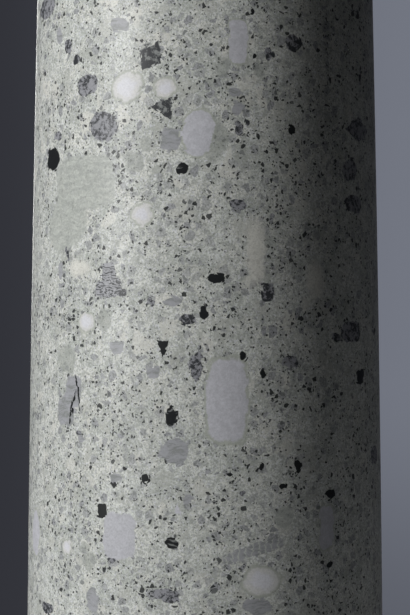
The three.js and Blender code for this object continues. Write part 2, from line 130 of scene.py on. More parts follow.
PLACED = {
    "mottled": {
        "oval": (
            (-137, 261, 13, 16, 0), (-102, 194, 17, 17, 0), (-88, 158, 25, 23, -8),
            (-128, 149, 6, 8, 0), (-112, 216, 6, 10, 0), (-119, 227, 7, 11, 10), (-71, 13, 8, 7, 0),
            (-48, 6, 6, 8, 0), (-16, -11, 14, 7, -4), (-7, -52, 10, 21, -4), (-120, 47, 3, 10, 10),
            (-110, -108, 5, 4, 0), (-81, -219, 6, 4, 0), (-34, -251, 23, 10, -4),
            (-137, -262, 10, 10, 0), (56, 221, 7, 10, 0), (77, 231, 13, 13, 0), (29, 156, 8, 10, 0),
            (36, 160, 4, 5, 0), (126, 120, 13, 19, 12), (129, 90, 14, 14, 0), (29, 90, 15, 9, 0),
            (115, -26, 8, 9, 0), (75, -48, 13, 10, 0), (147, -128, 6, 16, 0), (33, -161, 7, 5, 0),
        ),
        "rhomb": (
            (132, 155, 21, 21, 0),
        ),
        "block": (
            (55, 13, 11, 16, 0), (127, -21, 16, 16, 0),
        ),
    },
    "split": {
        "rhomb": (
            (-47, 219, 22, 27, -28),
        ),
        "wedge": (
            (-38, 175, 18, 18, -100),
        ),
    },
    "black": {
        "oval": (
            (-132, 129, 10, 20, 4), (10, 26, 14, 7, -6), (-1, -4, 7, 10, 10), (-70, -141, 4, 4, 0),
            (41, 259, 4, 4, 0), (76, 155, 8, 8, 0), (33, -43, 5, 7, 0), (50, -57, 5, 7, 0),
            (21, -145, 6, 4, 0), (49, -138, 4, 5, 0), (67, -155, 6, 5, 0), (81, -138, 5, 9, 0),
            (109, -162, 10, 9, 0), (108, -224, 5, 5, 0),
        ),
        "wedge": (
            (-38, -37, 9, 13, 0),
        ),
        "block": (
            (-116, -86, 1.6, 28, -16), (-111, -76, 1.4, 30, 6), (-52, -149, 7, 7, 20),
            (-90, -177, 8, 10, 0), (135, -60, 6, 10, 0),
        ),
    },
    "grey": {
        "oval": (
            (-127, 236, 5, 15, 0), (-28, 5, 16, 8, 4), (-126, 32, 3, 14, 0), (-27, -125, 23, 19, 0),
            (-78, -149, 9, 7, 10), (-108, -114, 5, 6, 0), (-98, -255, 10, 19, 4),
            (-15, -168, 6, 9, 0), (26, 187, 10, 7, 0), (29, 173, 8, 10, 0), (46, -260, 23, 14, 0),
        ),
        "block": (
            (-30, 147, 16, 17, 0), (-74, 246, 14, 10, -6), (-77, -34, 12, 10, 0),
            (-45, -57, 10, 10, 0), (-115, -73, 13, 26, -12), (-121, -90, 13, 24, 8),
        ),
    },
    "striped": {
        "oval": (
            (-19, 121, 10, 11, 0), (-29, -94, 9, 16, 0), (-30, -205, 10, 8, 0),
        ),
    },
    "faint": {
        "oval": (
            (-51, 144, 10, 12, 0), (-87, -11, 13, 15, 0), (-120, -45, 16, 21, 0),
            (-100, -221, 10, 16, 0), (-105, -208, 8, 9, 0), (16, 209, 11, 17, -8),
            (48, 206, 10, 10, 0),
        ),
        "block": (
            (-61, 127, 14, 15, 0),
        ),
        "rhomb": (
            (6, 147, 34, 40, 0),
        ),
    },
    "pale": {
        "oval": (
            (-68, 192, 28, 23, 12), (-34, 191, 19, 16, 0), (-54, 81, 19, 20, 0),
            (-103, -13, 14, 18, 0), (-120, -209, 7, 13, 0), (49, -238, 31, 23, -4),
        ),
    },
    "lilac": {
        "oval": (
            (-6, 152, 27, 37, -8), (-23, -176, 4, 11, 8), (-147, -196, 6, 40, 0),
        ),
        "block": (
            (29, 232, 16, 36, 0), (19, -81, 33, 68, 0), (106, -191, 13, 36, 0),
        ),
    },
    "layered": {
        "block": (
            (-104, 109, 50, 43, 0),
        ),
        "oval": (
            (-119, 72, 33, 40, 22), (69, -182, 17, 18, 0),
        ),
    },
    "veined": {
        "block": (
            (-84, 31, 12, 14, 0), (-84, 17, 21, 16, 4),
        ),
    },
    "cream": {
        "oval": (
            (-108, 34, 19, 16, 0), (96, 24, 16, 29, 0),
        ),
        "block": (
            (44, 48, 15, 52, 0),
        ),
    },
    "dusky": {
        "block": (
            (-75, -199, 27, 37, 0),
        ),
    },
    "banded": {
        "block": (
            (42, -212, 50, 10, 17),
        ),
    },
}

# ---- Colours ----


def linear(red, green, blue):
    """A colour as it looks on a screen, 0 to 255, turned into Blender's linear values."""

    def channel(value):
        part = value / 255
        return part / 12.92 if part <= 0.04045 else ((part + 0.055) / 1.055) ** 2.4

    return (channel(red), channel(green), channel(blue))


def colour_property(label, description, *screen):
    return bpy.props.FloatVectorProperty(
        name=label, description=description, default=linear(*screen), subtype="COLOR", min=0, max=1
    )


def length_property(label, description, default):
    common = {"name": label, "description": description, "default": default, "min": 0}
    return bpy.props.FloatProperty(subtype="DISTANCE", unit="LENGTH", **common)


def factor_property(label, description, default):
    return bpy.props.FloatProperty(
        name=label, description=description, default=default, subtype="FACTOR", min=0, max=1
    )


# ---- Settings ----


class PedestalShape(bpy.types.PropertyGroup):
    """Sizes of the turned stones."""

    foot_diameter: length_property(
        "Foot diameter", "Shaft's diameter at its foot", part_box("shaft")[1].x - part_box("shaft")[0].x
    )
    middle_diameter: length_property("Middle diameter", "Shaft's diameter half way up", 300 * MM)
    neck_diameter: length_property("Neck diameter", "Shaft's diameter at its neck", 281 * MM)
    chip_depth: length_property("Chip depth", "Deepest chip in the stones' edges", 0.5 * MM)
    chip_size: length_property("Chip size", "Usual length of a chip", 9 * MM)
    segments: bpy.props.IntProperty(
        name="Segments", description="Faces round each stone", default=192, min=24, max=512
    )


class PedestalStone(bpy.types.PropertyGroup):
    """Colours and grain of the polished conglomerate."""

    matrix: colour_property("Matrix", "Pale ground between the grains", 214, 217, 211)
    matrix_shade: colour_property("Matrix shade", "Darker clouds in the ground", 192, 196, 189)
    flour: colour_property("Rock flour", "Finest grains in the ground", 158, 162, 156)
    grey: colour_property("Grey grains", "Grey grains with soft edges", 136, 139, 138)
    lilac_grey: colour_property("Lilac-grey grains", "Grey grains with a lilac cast", 166, 167, 172)
    lilac: colour_property("Lilac clasts", "Pale clasts with a lilac cast", 206, 206, 213)
    pale: colour_property("Pale clasts", "Nearly white clasts", 222, 223, 232)
    cream: colour_property("Cream clasts", "Warm pale clasts", 223, 222, 214)
    halo: colour_property("Halo", "Grey-green rim of the pale clasts", 176, 180, 170)
    dark: colour_property("Dark clasts", "Darker part of mottled clasts", 58, 60, 63)
    dark_pale: colour_property("Paler dark", "Paler part of mottled clasts", 150, 151, 156)
    black: colour_property("Black grains", "Black angular grains", 34, 36, 37)
    polish: factor_property("Roughness", "Roughness of the polished face", 0.36)
    shift: bpy.props.FloatProperty(
        name="Shift", description="Moves all grains, for another block of the same stone", default=0
    )


class PedestalMetal(bpy.types.PropertyGroup):
    """Colours of the steel, rubber and resin parts."""

    coat: colour_property("Coated steel", "Black powder coat", 42, 43, 46)
    zinc: colour_property("Zinc", "Bright zinc plate", 186, 189, 191)
    stainless: colour_property("Stainless", "Drawn stainless steel", 196, 196, 193)
    rubber: colour_property("Rubber", "Soles and gaskets", 34, 34, 35)
    resin: colour_property("Resin", "Filled resin of the beds", 150, 153, 145)


class PedestalStage(bpy.types.PropertyGroup):
    """Floor, lamps and camera."""

    floor: colour_property("Floor", "Plain pale floor", 190, 191, 193)
    backdrop_left: colour_property("Backdrop left", "Backdrop on the left", 50, 51, 57)
    backdrop_right: colour_property("Backdrop right", "Backdrop on the right", 114, 118, 129)
    camera_distance: length_property("Camera distance", "From the camera to the axis", 1.488)
    camera_height: length_property("Camera height", "Above the floor", 0.5)
    lens: bpy.props.FloatProperty(
        name="Lens", description="Focal length", default=100, min=10, subtype="DISTANCE_CAMERA"
    )
    key_power: bpy.props.FloatProperty(
        name="Key lamp", description="Power of each main lamp", default=65, min=0, unit="POWER"
    )
    fill: factor_property("Fill", "Strength of the light from all round", 0.008)


SETTINGS = {
    "shape": PedestalShape,
    "stone": PedestalStone,
    "metal": PedestalMetal,
    "stage": PedestalStage,
}


class PedestalSettings(bpy.types.PropertyGroup):
    """All settings of the pedestal."""

    shape: bpy.props.PointerProperty(type=PedestalShape)
    stone: bpy.props.PointerProperty(type=PedestalStone)
    metal: bpy.props.PointerProperty(type=PedestalMetal)
    stage: bpy.props.PointerProperty(type=PedestalStage)


def settings():
    return bpy.context.scene.pedestal


# ---- Building node trees ----

NODE_SPACING = (190, -260)
NODES_IN_A_ROW = 30
SOCKETS = {
    int: "NodeSocketInt",
    float: "NodeSocketFloat",
    tuple: "NodeSocketVector",
    "vector": "NodeSocketVector",
    "geometry": "NodeSocketGeometry",
    "material": "NodeSocketMaterial",
}


class Graph:
    """Adds nodes to a tree and wires them.

    A plain value is set on its socket, and every socket of a list is wired to it."""

    def __init__(self, tree):
        self.tree = tree

    def add(self, kind, inputs=None, options=None):
        """A new node's outputs. Options are set first, because some of them make the sockets."""
        node = self.tree.nodes.new(kind)
        row, column = divmod(len(self.tree.nodes), NODES_IN_A_ROW)
        node.location = (NODE_SPACING[0] * column, NODE_SPACING[1] * row)
        for key, value in (options or {}).items():
            setattr(node, key, value)
        for key, value in (inputs or {}).items():
            self.feed(node.inputs[key], value)
        return node.outputs

    def feed(self, socket, value):
        if isinstance(value, list):
            for one in value:
                self.feed(socket, one)
        elif isinstance(value, bpy.types.NodeSocket):
            self.tree.links.new(value, socket)
        elif socket.type == "RGBA" and len(value) == 3:
            socket.default_value = (*value, 1)
        else:
            socket.default_value = value

    def math(self, operation, *values, clamp=False):
        options = {"operation": operation, "use_clamp": clamp}
        return self.add("ShaderNodeMath", dict(enumerate(values)), options)[0]

    def plus(self, *values):
        return functools.reduce(functools.partial(self.math, "ADD"), values)

    def times(self, *values):
        return functools.reduce(functools.partial(self.math, "MULTIPLY"), values)

    def minus(self, whole, part):
        return self.math("SUBTRACT", whole, part)

    def over(self, whole, part):
        return self.math("DIVIDE", whole, part)

    def vector(self, operation, *values):
        made = self.add("ShaderNodeVectorMath", dict(enumerate(values)), {"operation": operation})
        return made["Value" if operation in ("LENGTH", "DOT_PRODUCT") else "Vector"]

    def scaled(self, vector, scale):
        inputs = {0: vector, "Scale": scale}
        return self.add("ShaderNodeVectorMath", inputs, {"operation": "SCALE"})["Vector"]

    def shrunk(self, vector, size):
        return self.vector("DIVIDE", vector, self.combine(size, size, size))

    def centred(self, colour, reach):
        """A noise's colour as a shift of up to half the reach each way."""
        return self.scaled(self.vector("SUBTRACT", colour, (0.5, 0.5, 0.5)), reach)

    def combine(self, x, y, z):
        return self.add("ShaderNodeCombineXYZ", {0: x, 1: y, 2: z})[0]

    def separate(self, vector):
        return self.add("ShaderNodeSeparateXYZ", {0: vector})

    def ramp(self, value, low, high, to_low=0.0, to_high=1.0, kind="SMOOTHSTEP"):
        ends = {"From Min": low, "From Max": high, "To Min": to_low, "To Max": to_high}
        options = {"interpolation_type": kind, "clamp": kind == "LINEAR"}
        return self.add("ShaderNodeMapRange", {"Value": value, **ends}, options)["Result"]

    def noise(self, vector, size, detail, roughness, output="Fac"):
        inputs = {"Vector": vector, "Scale": 1 / size, "Detail": detail, "Roughness": roughness}
        return self.add("ShaderNodeTexNoise", inputs)[output]

    def cells(self, vector, feature="F1", scale=1.0):
        inputs = {"Vector": vector, "Scale": scale}
        return self.add("ShaderNodeTexVoronoi", inputs, {"feature": feature})

    def blend(self, factor, first, second, kind="MIX"):
        options = {"data_type": "RGBA", "blend_type": kind}
        return self.add("ShaderNodeMix", {0: factor, 6: first, 7: second}, options)[2]

    def lay(self, colour, layers):
        """Lays tints over the colour, each by its mask and strength, from the lowest up."""
        for mask, tint, strength in layers:
            colour = self.blend(mask if strength == 1 else self.times(mask, strength), colour, tint)
        return colour

    def group(self, name, make, inputs):
        """The outputs of the shader group of that name, made the first time it is needed."""
        tree = bpy.data.node_groups.get(name) or make(name)
        return self.add("ShaderNodeGroup", inputs, {"node_tree": tree})


def new_tree(name, kind, inputs, outputs):
    """A node group: its graph, and its inputs' sockets, each given by a default or by its kind."""
    tree = bpy.data.node_groups.new(name, kind)
    for label, default in inputs.items():
        form = default if isinstance(default, str) else type(default)
        socket = tree.interface.new_socket(name=label, in_out="INPUT", socket_type=SOCKETS[form])
        if form is not default:
            socket.default_value = default
    for label, form in outputs.items():
        tree.interface.new_socket(name=label, in_out="OUTPUT", socket_type=SOCKETS[form])
    graph = Graph(tree)
    return graph, graph.add("NodeGroupInput")


# ---- Shader groups ----


def stone_grains(name):
    """Angular grains: a share of the cells of a cracked block, each shrunk by its own margin."""
    sizes = {"Size": 10.0, "Share": 0.3, "Margin": 0.1, "Softness": 0.05, "Shift": 0.0}
    outputs = {"Mask": float, "Tone": float}
    g, into = new_tree(name, "ShaderNodeTree", {"Vector": "vector", **sizes}, outputs)
    shift = g.combine(into["Shift"], into["Shift"], into["Shift"])
    place = g.vector("ADD", g.shrunk(into["Vector"], into["Size"]), shift)
    edge = g.cells(place, "DISTANCE_TO_EDGE")["Distance"]
    chance, spread, tone = g.separate(g.cells(place)["Color"])
    present = g.math("LESS_THAN", chance, into["Share"])
    margin = g.times(g.plus(spread, 0.15), into["Margin"])
    inside = g.ramp(g.minus(edge, margin), 0.0, into["Softness"])
    g.add("NodeGroupOutput", {"Mask": g.times(inside, present), "Tone": tone})
    return g.tree


def fine_grain(name):
    """Even fine noise for a surface: a factor about one half and a height."""
    sizes = {"Size": 1.0, "Stretch": (1.0, 1.0, 1.0), "Contrast": 1.0}
    outputs = {"Factor": float, "Height": float}
    g, into = new_tree(name, "ShaderNodeTree", {"Vector": "vector", **sizes}, outputs)
    spread = g.vector("DIVIDE", into["Vector"], g.scaled(into["Stretch"], into["Size"]))
    height = g.noise(spread, 1.0, 4.0, 0.6)
    factor = g.math("MULTIPLY_ADD", g.minus(height, 0.5), into["Contrast"], 0.5, clamp=True)
    g.add("NodeGroupOutput", {"Factor": factor, "Height": height})
    return g.tree


def edge_wear(name):
    """Where a worn edge shows: the piece's own edge attribute broken up by noise."""
    inputs = {"Vector": "vector", "Size": 3.0, "Amount": 0.5}
    g, into = new_tree(name, "ShaderNodeTree", inputs, {"Mask": float})
    edge = g.add("ShaderNodeAttribute", None, {"attribute_name": "edge"})["Fac"]
    broken = g.ramp(g.noise(g.shrunk(into["Vector"], into["Size"]), 1.0, 3.0, 0.6), 0.42, 0.62)
    g.add("NodeGroupOutput", {"Mask": g.times(edge, broken, into["Amount"])})
    return g.tree


# ---- Materials ----


def new_material(name, roughness, metallic=0.0, specular=0.5):
    """A material, its graph and shader, and the object's own coordinates in millimetres."""
    material = bpy.data.materials.new(name)
    material.use_nodes = True
    g = Graph(material.node_tree)
    shader = material.node_tree.nodes["Principled BSDF"].inputs
    shader["Roughness"].default_value = roughness
    shader["Metallic"].default_value = metallic
    shader["Specular IOR Level"].default_value = specular
    return material, g, shader, g.scaled(g.add("ShaderNodeTexCoord")["Object"], 1 / MM)


def bump(g, shader, height, strength, distance):
    inputs = {"Strength": strength, "Distance": distance, "Height": height}
    g.feed(shader["Normal"], g.add("ShaderNodeBump", inputs)["Normal"])


def side_radius(share):
    """The shaft's radius at a share of its length."""
    shape = settings().shape
    foot, middle, neck = shape.foot_diameter / 2, shape.middle_diameter / 2, shape.neck_diameter / 2
    bulge = 2 * middle - (foot + neck) / 2
    return foot * (1 - share) ** 2 + 2 * bulge * share * (1 - share) + neck * share**2


SIGHT_STEPS = 3


def on_shaft(across, up):
    """Where the camera's sight line through a point of the plane on the axis meets the shaft.

    Returns the millimetres round the girth from the front, and up from the floor."""
    stage, shape = settings().stage, settings().shape
    away = stage.camera_distance
    bottom, top, _ = span("shaft")
    radius = shape.middle_diameter / 2
    for _ in range(SIGHT_STEPS):
        slope = across * across + away * away
        inside = away**4 - slope * (away * away - radius * radius)
        reach = (away * away - math.sqrt(max(inside, 0))) / slope
        level = stage.camera_height + reach * up
        radius = side_radius((level - bottom) / (top - bottom))
    turn = math.atan2(reach * across, away - reach * away)
    return turn * shape.middle_diameter / 2 / MM, level / MM


# Where a clast's edge starts and ends, as shares of its half size.
CLAST_EDGES = {
    "pale": (1.12, 0.1),
    "lilac": (1.12, 0.78),
    "cream": (1.25, 0.5),
    "faint": (1.15, 0.85),
}
CLAST_EDGE = (1.06, 0.95)
FAR_FROM_CLASTS = 9.0


def clast_reach(g, girth, form, place, half_size, turn):
    """How far out a place on the developed face lies in one clast, squared: 1 on its outline.

    Vector Rotate and Vector Math pass vectors on as they are. A Mapping or Separate XYZ node here
    would hold every clast's value in the renderer's memory until the last one."""
    if turn:
        swing = {"Vector": girth, "Center": (*place, 0), "Angle": -math.radians(turn)}
        girth = g.add("ShaderNodeVectorRotate", swing, {"rotation_type": "Z_AXIS"})[0]
    (across, up), (wide, high) = place, half_size
    scale, shift = (1 / wide, 1 / high, 0), (-across / wide, -up / high, 0)
    local = g.vector("MULTIPLY_ADD", girth, scale, shift)
    if form == "oval":
        return g.vector("DOT_PRODUCT", local, local)
    if form == "block":
        squared = g.vector("MULTIPLY", local, local)
        return g.math("SQRT", g.vector("DOT_PRODUCT", squared, squared))
    if form == "rhomb":
        apart = g.vector("DOT_PRODUCT", g.vector("ABSOLUTE", local), (1, 1, 0))
        return g.times(apart, apart)
    sideways = g.math("ABSOLUTE", g.vector("DOT_PRODUCT", local, (1, 0, 0)))
    upward = g.vector("DOT_PRODUCT", local, (0, 1, 0))
    flank = g.math("MULTIPLY_ADD", sideways, 2.0, g.times(upward, -1.0))
    return g.math("POWER", g.math("MAXIMUM", g.math("MAXIMUM", upward, flank), 0.0), 2.0)


def placed_finish(finish, name):
    """The mask of all listed clasts of one finish."""
    g, into = new_tree(name, "ShaderNodeTree", {"Vector": "vector"}, {"Mask": float})
    nearest = FAR_FROM_CLASTS
    for form, rows in PLACED[finish].items():
        for across, up, width, height, turn in rows:
            left, _ = on_shaft((across - width / 2) * MM, up * MM)
            right, _ = on_shaft((across + width / 2) * MM, up * MM)
            _, bottom = on_shaft(across * MM, (up - height / 2) * MM)
            _, top = on_shaft(across * MM, (up + height / 2) * MM)
            place = ((left + right) / 2, (bottom + top) / 2)
            half_size = (max(right - left, width) / 2, max(top - bottom, height) / 2)
            reach = clast_reach(g, into["Vector"], form, place, half_size, turn)
            nearest = g.math("MINIMUM", nearest, reach)
    outer, inner = CLAST_EDGES.get(finish, CLAST_EDGE)
    g.add("NodeGroupOutput", {"Mask": g.ramp(nearest, outer**2, inner**2)})
    return g.tree


# Each noise's size in millimetres, detail and roughness.
NOISES = {
    "small": (4.2, 1.0, 0.6),
    "large": (15.0, 1.0, 0.5),
    "zones": (30.0, 3.0, 0.62),
    "cloudy": (5.6, 3.0, 0.72),
    "streak": (4.4, 2.0, 0.7),
    "grit": (1.5, 2.0, 0.7),
    "veil": (17.0, 2.0, 0.6),
    "blotch": (3.6, 3.0, 0.75),
    "pits": (1.2, 1.0, 0.5),
    "resin": (12.0, 3.0, 0.5),
}
# Each kind's size in millimetres, share of the cells, further share where it crowds, margin,
# softness and shift.
GRAINS = {
    "soft": (16.0, 0.4, 0.0, 0.2, 0.1, 11.3),
    "grey": (7.4, 0.4, 0.3, 0.24, 0.06, 29.1),
    "speck": (3.8, 0.08, 0.3, 0.38, 0.05, 53.3),
    "pepper": (2.1, 0.2, 0.24, 0.36, 0.1, 97.9),
    "clast": (19.0, 0.3, 0.0, 0.4, 0.05, 67.7),
    "black": (8.0, 0.012, 0.03, 0.7, 0.05, 83.1),
    "filler": (0.9, 0.35, 0.0, 0.5, 0.15, 5.5),
}


def grains(g, kind, where, crowd=0.0):
    """The mask of one kind of grain, and a tone that differs from grain to grain."""
    size, share, further, margin, softness, shift = GRAINS[kind]
    if further:
        share = g.math("MULTIPLY_ADD", crowd, further, share)
    inputs = {"Size": size, "Share": share, "Margin": margin, "Softness": softness, "Shift": shift}
    return g.group("Stone grains", stone_grains, {"Vector": where, **inputs})


BEDDING = (0.32, 0.32, 1.5)


def stone_fields(g, point):
    """The coordinates and noises that the stone's pattern is made of."""
    small = g.centred(g.noise(point, *NOISES["small"], "Color"), 2.2)
    large = g.centred(g.noise(point, *NOISES["large"], "Color"), 11.0)
    fine = g.vector("ADD", point, small)
    coarse = g.vector("ADD", fine, large)
    zones = g.noise(coarse, *NOISES["zones"])
    crowd = g.ramp(zones, 0.43, 0.6)
    noises = {
        "cloudy": g.noise(fine, *NOISES["cloudy"]),
        "streak": g.noise(g.vector("MULTIPLY", coarse, BEDDING), *NOISES["streak"]),
        "pepper": grains(g, "pepper", fine, crowd)["Mask"],
    }
    noises["grit"], noises["spark"], _ = g.separate(g.noise(fine, *NOISES["grit"], "Color"))
    places = dict(zip("xyz", g.separate(point)), small=small, large=large, fine=fine, coarse=coarse)
    return types.SimpleNamespace(zones=zones, crowd=crowd, **noises, **places)


def ground_layers(g, stone, f):
    """Clouds, rock flour and pale sparks in the ground between the grains."""
    return [
        (f.crowd, stone.matrix_shade, 1),
        (g.ramp(g.noise(f.coarse, *NOISES["veil"]), 0.4, 0.64), stone.cream, 0.5),
        (g.ramp(f.cloudy, 0.42, 0.66), stone.flour, 0.7),
        (g.ramp(f.grit, 0.44, 0.64), stone.flour, 0.8),
        (g.ramp(f.spark, 0.5, 0.68), stone.pale, 0.6),
    ]


def grain_layers(g, stone, f):
    """Soft pale grains, grey grains, dark specks and pepper."""
    soft, grey = grains(g, "soft", f.coarse), grains(g, "grey", f.fine, f.crowd)
    speck = grains(g, "speck", f.fine, f.crowd)
    soft_mask = g.times(soft["Mask"], g.ramp(f.spark, 0.3, 0.7, 0.7, 0.4))
    grey_mask = g.times(grey["Mask"], g.ramp(grey["Tone"], 0.0, 1.0, 1.0, 0.4, "LINEAR"))
    grey_tint = g.blend(g.ramp(f.grit, 0.36, 0.62), stone.lilac_grey, stone.grey)
    speck_tint = g.blend(g.ramp(speck["Tone"], 0.6, 1.0), stone.black, stone.grey)
    return [
        (soft_mask, g.blend(soft["Tone"], stone.flour, stone.cream), 1),
        (grey_mask, grey_tint, 1),
        (speck["Mask"], speck_tint, 0.92),
        (f.pepper, stone.black, 0.92),
    ]


def clast_tints(g, stone, f):
    """The inside of each finish of clast and its strength, from the lowest up."""
    blotch = g.math("MULTIPLY_ADD", f.zones, 0.5, g.noise(f.fine, *NOISES["blotch"]))
    streaks = g.ramp(g.math("MULTIPLY_ADD", f.grit, 0.6, f.streak), 0.62, 0.88)
    streaked = g.blend(streaks, stone.grey, stone.lilac_grey)
    wave = g.math("PINGPONG", g.math("MULTIPLY_ADD", f.streak, 15.0, f.z), 1.5)
    stripe = g.math("PINGPONG", g.math("MULTIPLY_ADD", f.streak, 9.0, f.x), 2.6)
    cloud = g.ramp(f.cloudy, 0.34, 0.62, 0.0, 0.35)
    layer = g.ramp(f.streak, 0.36, 0.62, 0.1, 0.5)
    included = g.ramp(f.streak, 0.56, 0.62, 0.0, 0.7)
    return {
        "cream": (stone.cream, 0.8),
        "faint": (stone.flour, 0.6),
        "lilac": (g.blend(cloud, stone.lilac, stone.lilac_grey), 0.95),
        "veined": (g.blend(g.ramp(wave, 0.35, 0.9), stone.dark, stone.lilac_grey), 0.95),
        "layered": (g.blend(layer, stone.matrix_shade, stone.grey), 0.8),
        "dusky": (g.blend(f.cloudy, stone.lilac_grey, stone.lilac), 0.92),
        "banded": (g.blend(g.ramp(stripe, 0.2, 0.8), stone.matrix_shade, streaked), 0.9),
        "grey": (streaked, 0.95),
        "mottled": (g.blend(g.ramp(blotch, 0.68, 0.84), stone.dark, stone.dark_pale), 1),
        "split": (g.blend(g.ramp(f.cloudy, 0.46, 0.62), stone.dark, stone.grey), 1),
        "black": (stone.black, 1),
        "striped": (g.blend(included, stone.black, stone.grey), 1),
    }


def scattered_layers(g, stone, f, tints, away):
    """Random clasts and black grains; away is 0 where the listed clasts are placed."""
    clast, black = grains(g, "clast", f.coarse), grains(g, "black", f.coarse, away)
    tint = g.blend(g.ramp(clast["Tone"], 0.3, 0.34), tints["mottled"][0], tints["grey"][0])
    tint = g.blend(g.ramp(clast["Tone"], 0.62, 0.66), tint, stone.pale)
    return [(g.times(clast["Mask"], away), tint, 0.92), (black["Mask"], stone.black, 1)]


# Where the face with placed clasts ends, in millimetres round the girth and from its middle level.
FACE_SIDES = (195.0, 225.0)
FACE_ENDS = (262.0, 285.0)
SPLINTER = 6.5


def shaft_face(g, f):
    """The shaft's face laid flat, with its places shaken, and a mask of all that lies off it."""
    turn = g.math("ARCTAN2", f.x, g.times(f.y, -1.0))
    girth = g.times(turn, settings().shape.middle_diameter / 2 / MM)
    splinter = g.centred(g.cells(f.fine, scale=1 / SPLINTER)["Color"], 2.6)
    shake = g.vector("MULTIPLY_ADD", f.large, (0.35, 0.35, 0.35), f.small)
    sideways = g.ramp(g.math("ABSOLUTE", girth), *FACE_SIDES)
    middle = settings().stage.camera_height / MM
    upward = g.ramp(g.math("ABSOLUTE", g.minus(f.z, middle)), *FACE_ENDS)
    shake = g.vector("ADD", splinter, shake)
    developed = g.vector("ADD", g.combine(girth, f.z, 0.0), shake)
    return developed, g.math("MAXIMUM", sideways, upward)


def placed_layers(g, stone, f, tints, developed):
    """The listed clasts. Pale and lilac ones have a halo, and pale ones a core."""
    masks = {}
    for finish in PLACED:
        make = functools.partial(placed_finish, finish)
        masks[finish] = g.group(f"Placed {finish}", make, {"Vector": developed})["Mask"]
    pale, halo = masks["pale"], g.ramp(masks["lilac"], 0.02, 0.3)
    masks["lilac"] = g.ramp(masks["lilac"], 0.35, 0.75)
    return [
        (g.ramp(pale, 0.0, 0.05), stone.halo, 0.9),
        (g.ramp(pale, 0.05, 0.5), g.blend(f.cloudy, stone.cream, stone.lilac), 0.9),
        (g.ramp(pale, 0.66, 1.0), stone.pale, 0.6),
        (halo, stone.halo, 0.85),
        *((masks[finish], *tint) for finish, tint in tints.items()),
    ]


STONE_SPECULAR = 0.3
SHINE_SPREAD = 0.03
PEPPER_ROUGHNESS = 0.06
PIT_DEPTH = 0.0002


def stone_material(name, placed):
    """Polished conglomerate; placed adds the clasts of the shaft's face."""
    stone = settings().stone
    material, g, shader, point = new_material(name, stone.polish, specular=STONE_SPECULAR)
    point = g.vector("ADD", point, (stone.shift, stone.shift, stone.shift))
    f = stone_fields(g, point)
    tints = clast_tints(g, stone, f)
    developed, away = shaft_face(g, f) if placed else (None, 1.0)
    layers = ground_layers(g, stone, f) + grain_layers(g, stone, f)
    layers += scattered_layers(g, stone, f, tints, away)
    if placed:
        layers += placed_layers(g, stone, f, tints, developed)
    mist = g.ramp(f.grit, 0.35, 0.65, 1.07, 0.92, "LINEAR")
    colour = g.blend(1.0, g.lay(stone.matrix, layers), g.combine(mist, mist, mist), "MULTIPLY")
    g.feed(shader["Base Color"], colour)
    smooth = g.ramp(f.zones, 0.3, 0.7, stone.polish - SHINE_SPREAD, stone.polish + SHINE_SPREAD)
    g.feed(shader["Roughness"], g.math("MULTIPLY_ADD", f.pepper, PEPPER_ROUGHNESS, smooth))
    pits = g.ramp(g.noise(point, *NOISES["pits"]), 0.3, 0.42)
    bump(g, shader, pits, 0.04, PIT_DEPTH)
    return material


# Each surface's colour in the settings, roughness and metalness; its grain's size in millimetres
# and stretch upwards; its darker shade; how far its roughness varies; the amount and colour of its
# worn edges; and its grain's height in metres.
SURFACES = {
    "black_steel": ("coat", 0.5, 0.0, 1.1, 1, 0.8, 0.06, 0.5, (96, 97, 99), 0.00012),
    "zinc_steel": ("zinc", 0.34, 0.9, 2.2, 1, 0.82, 0.07, 0.4, (176, 178, 180), 0.00004),
    "stainless_steel": ("stainless", 0.3, 1.0, 0.5, 30, 0.85, 0.05, 0.3, (176, 178, 180), 0.00003),
    "rubber": ("rubber", 0.82, 0.0, 0.8, 1, 0.75, 0.06, 0.35, (74, 74, 73), 0.0002),
}
CLOUD_SIZE = 24.0
WEAR_SIZE = 3.0


def shaded(colour, by):
    return tuple(part * by for part in colour)


def surface_material(name, slot):
    """A plain surface with fine grain, broad clouds and worn edges."""
    colour, roughness, metallic, size, stretch, shade, shine, wear, worn, height = SURFACES[slot]
    colour = getattr(settings().metal, colour)
    material, g, shader, point = new_material(name, roughness, metallic)

    def grain(size, stretch, contrast):
        inputs = {"Size": size, "Stretch": (1, 1, stretch), "Contrast": contrast}
        return g.group("Fine grain", fine_grain, {"Vector": point, **inputs})

    fine, clouds = grain(size, stretch, 1.8), grain(CLOUD_SIZE, 1, 2.2)["Factor"]
    lighter = tuple(min(part * 1.25 + 0.004, 1) for part in colour)
    tint = g.blend(fine["Factor"], shaded(colour, shade), colour)
    tint = g.blend(g.times(clouds, 0.35), tint, lighter)
    wear = {"Vector": point, "Size": WEAR_SIZE, "Amount": wear}
    mask = g.group("Edge wear", edge_wear, wear)["Mask"]
    g.feed(shader["Base Color"], g.blend(mask, tint, linear(*worn)))
    g.feed(shader["Roughness"], g.ramp(clouds, 0.0, 1.0, roughness - shine, roughness + shine))
    bump(g, shader, fine["Height"], 0.25, height)
    return material


RESIN_ROUGHNESS = 0.45
FILLER_HEIGHT = 0.0001


def resin_material(name):
    """Stone-filled resin: fine dark and pale filler in an even ground."""
    colour = settings().metal.resin
    material, g, shader, point = new_material(name, RESIN_ROUGHNESS)
    filler = grains(g, "filler", point)
    tint = g.blend(filler["Tone"], shaded(colour, 0.55), shaded(colour, 1.25))
    ground = g.blend(g.noise(point, *NOISES["resin"]), colour, shaded(colour, 0.88))
    g.feed(shader["Base Color"], g.blend(filler["Mask"], ground, tint))
    g.feed(shader["Roughness"], g.ramp(filler["Mask"], 0.0, 1.0, 0.42, 0.52))
    bump(g, shader, filler["Mask"], 0.1, FILLER_HEIGHT)
    return material


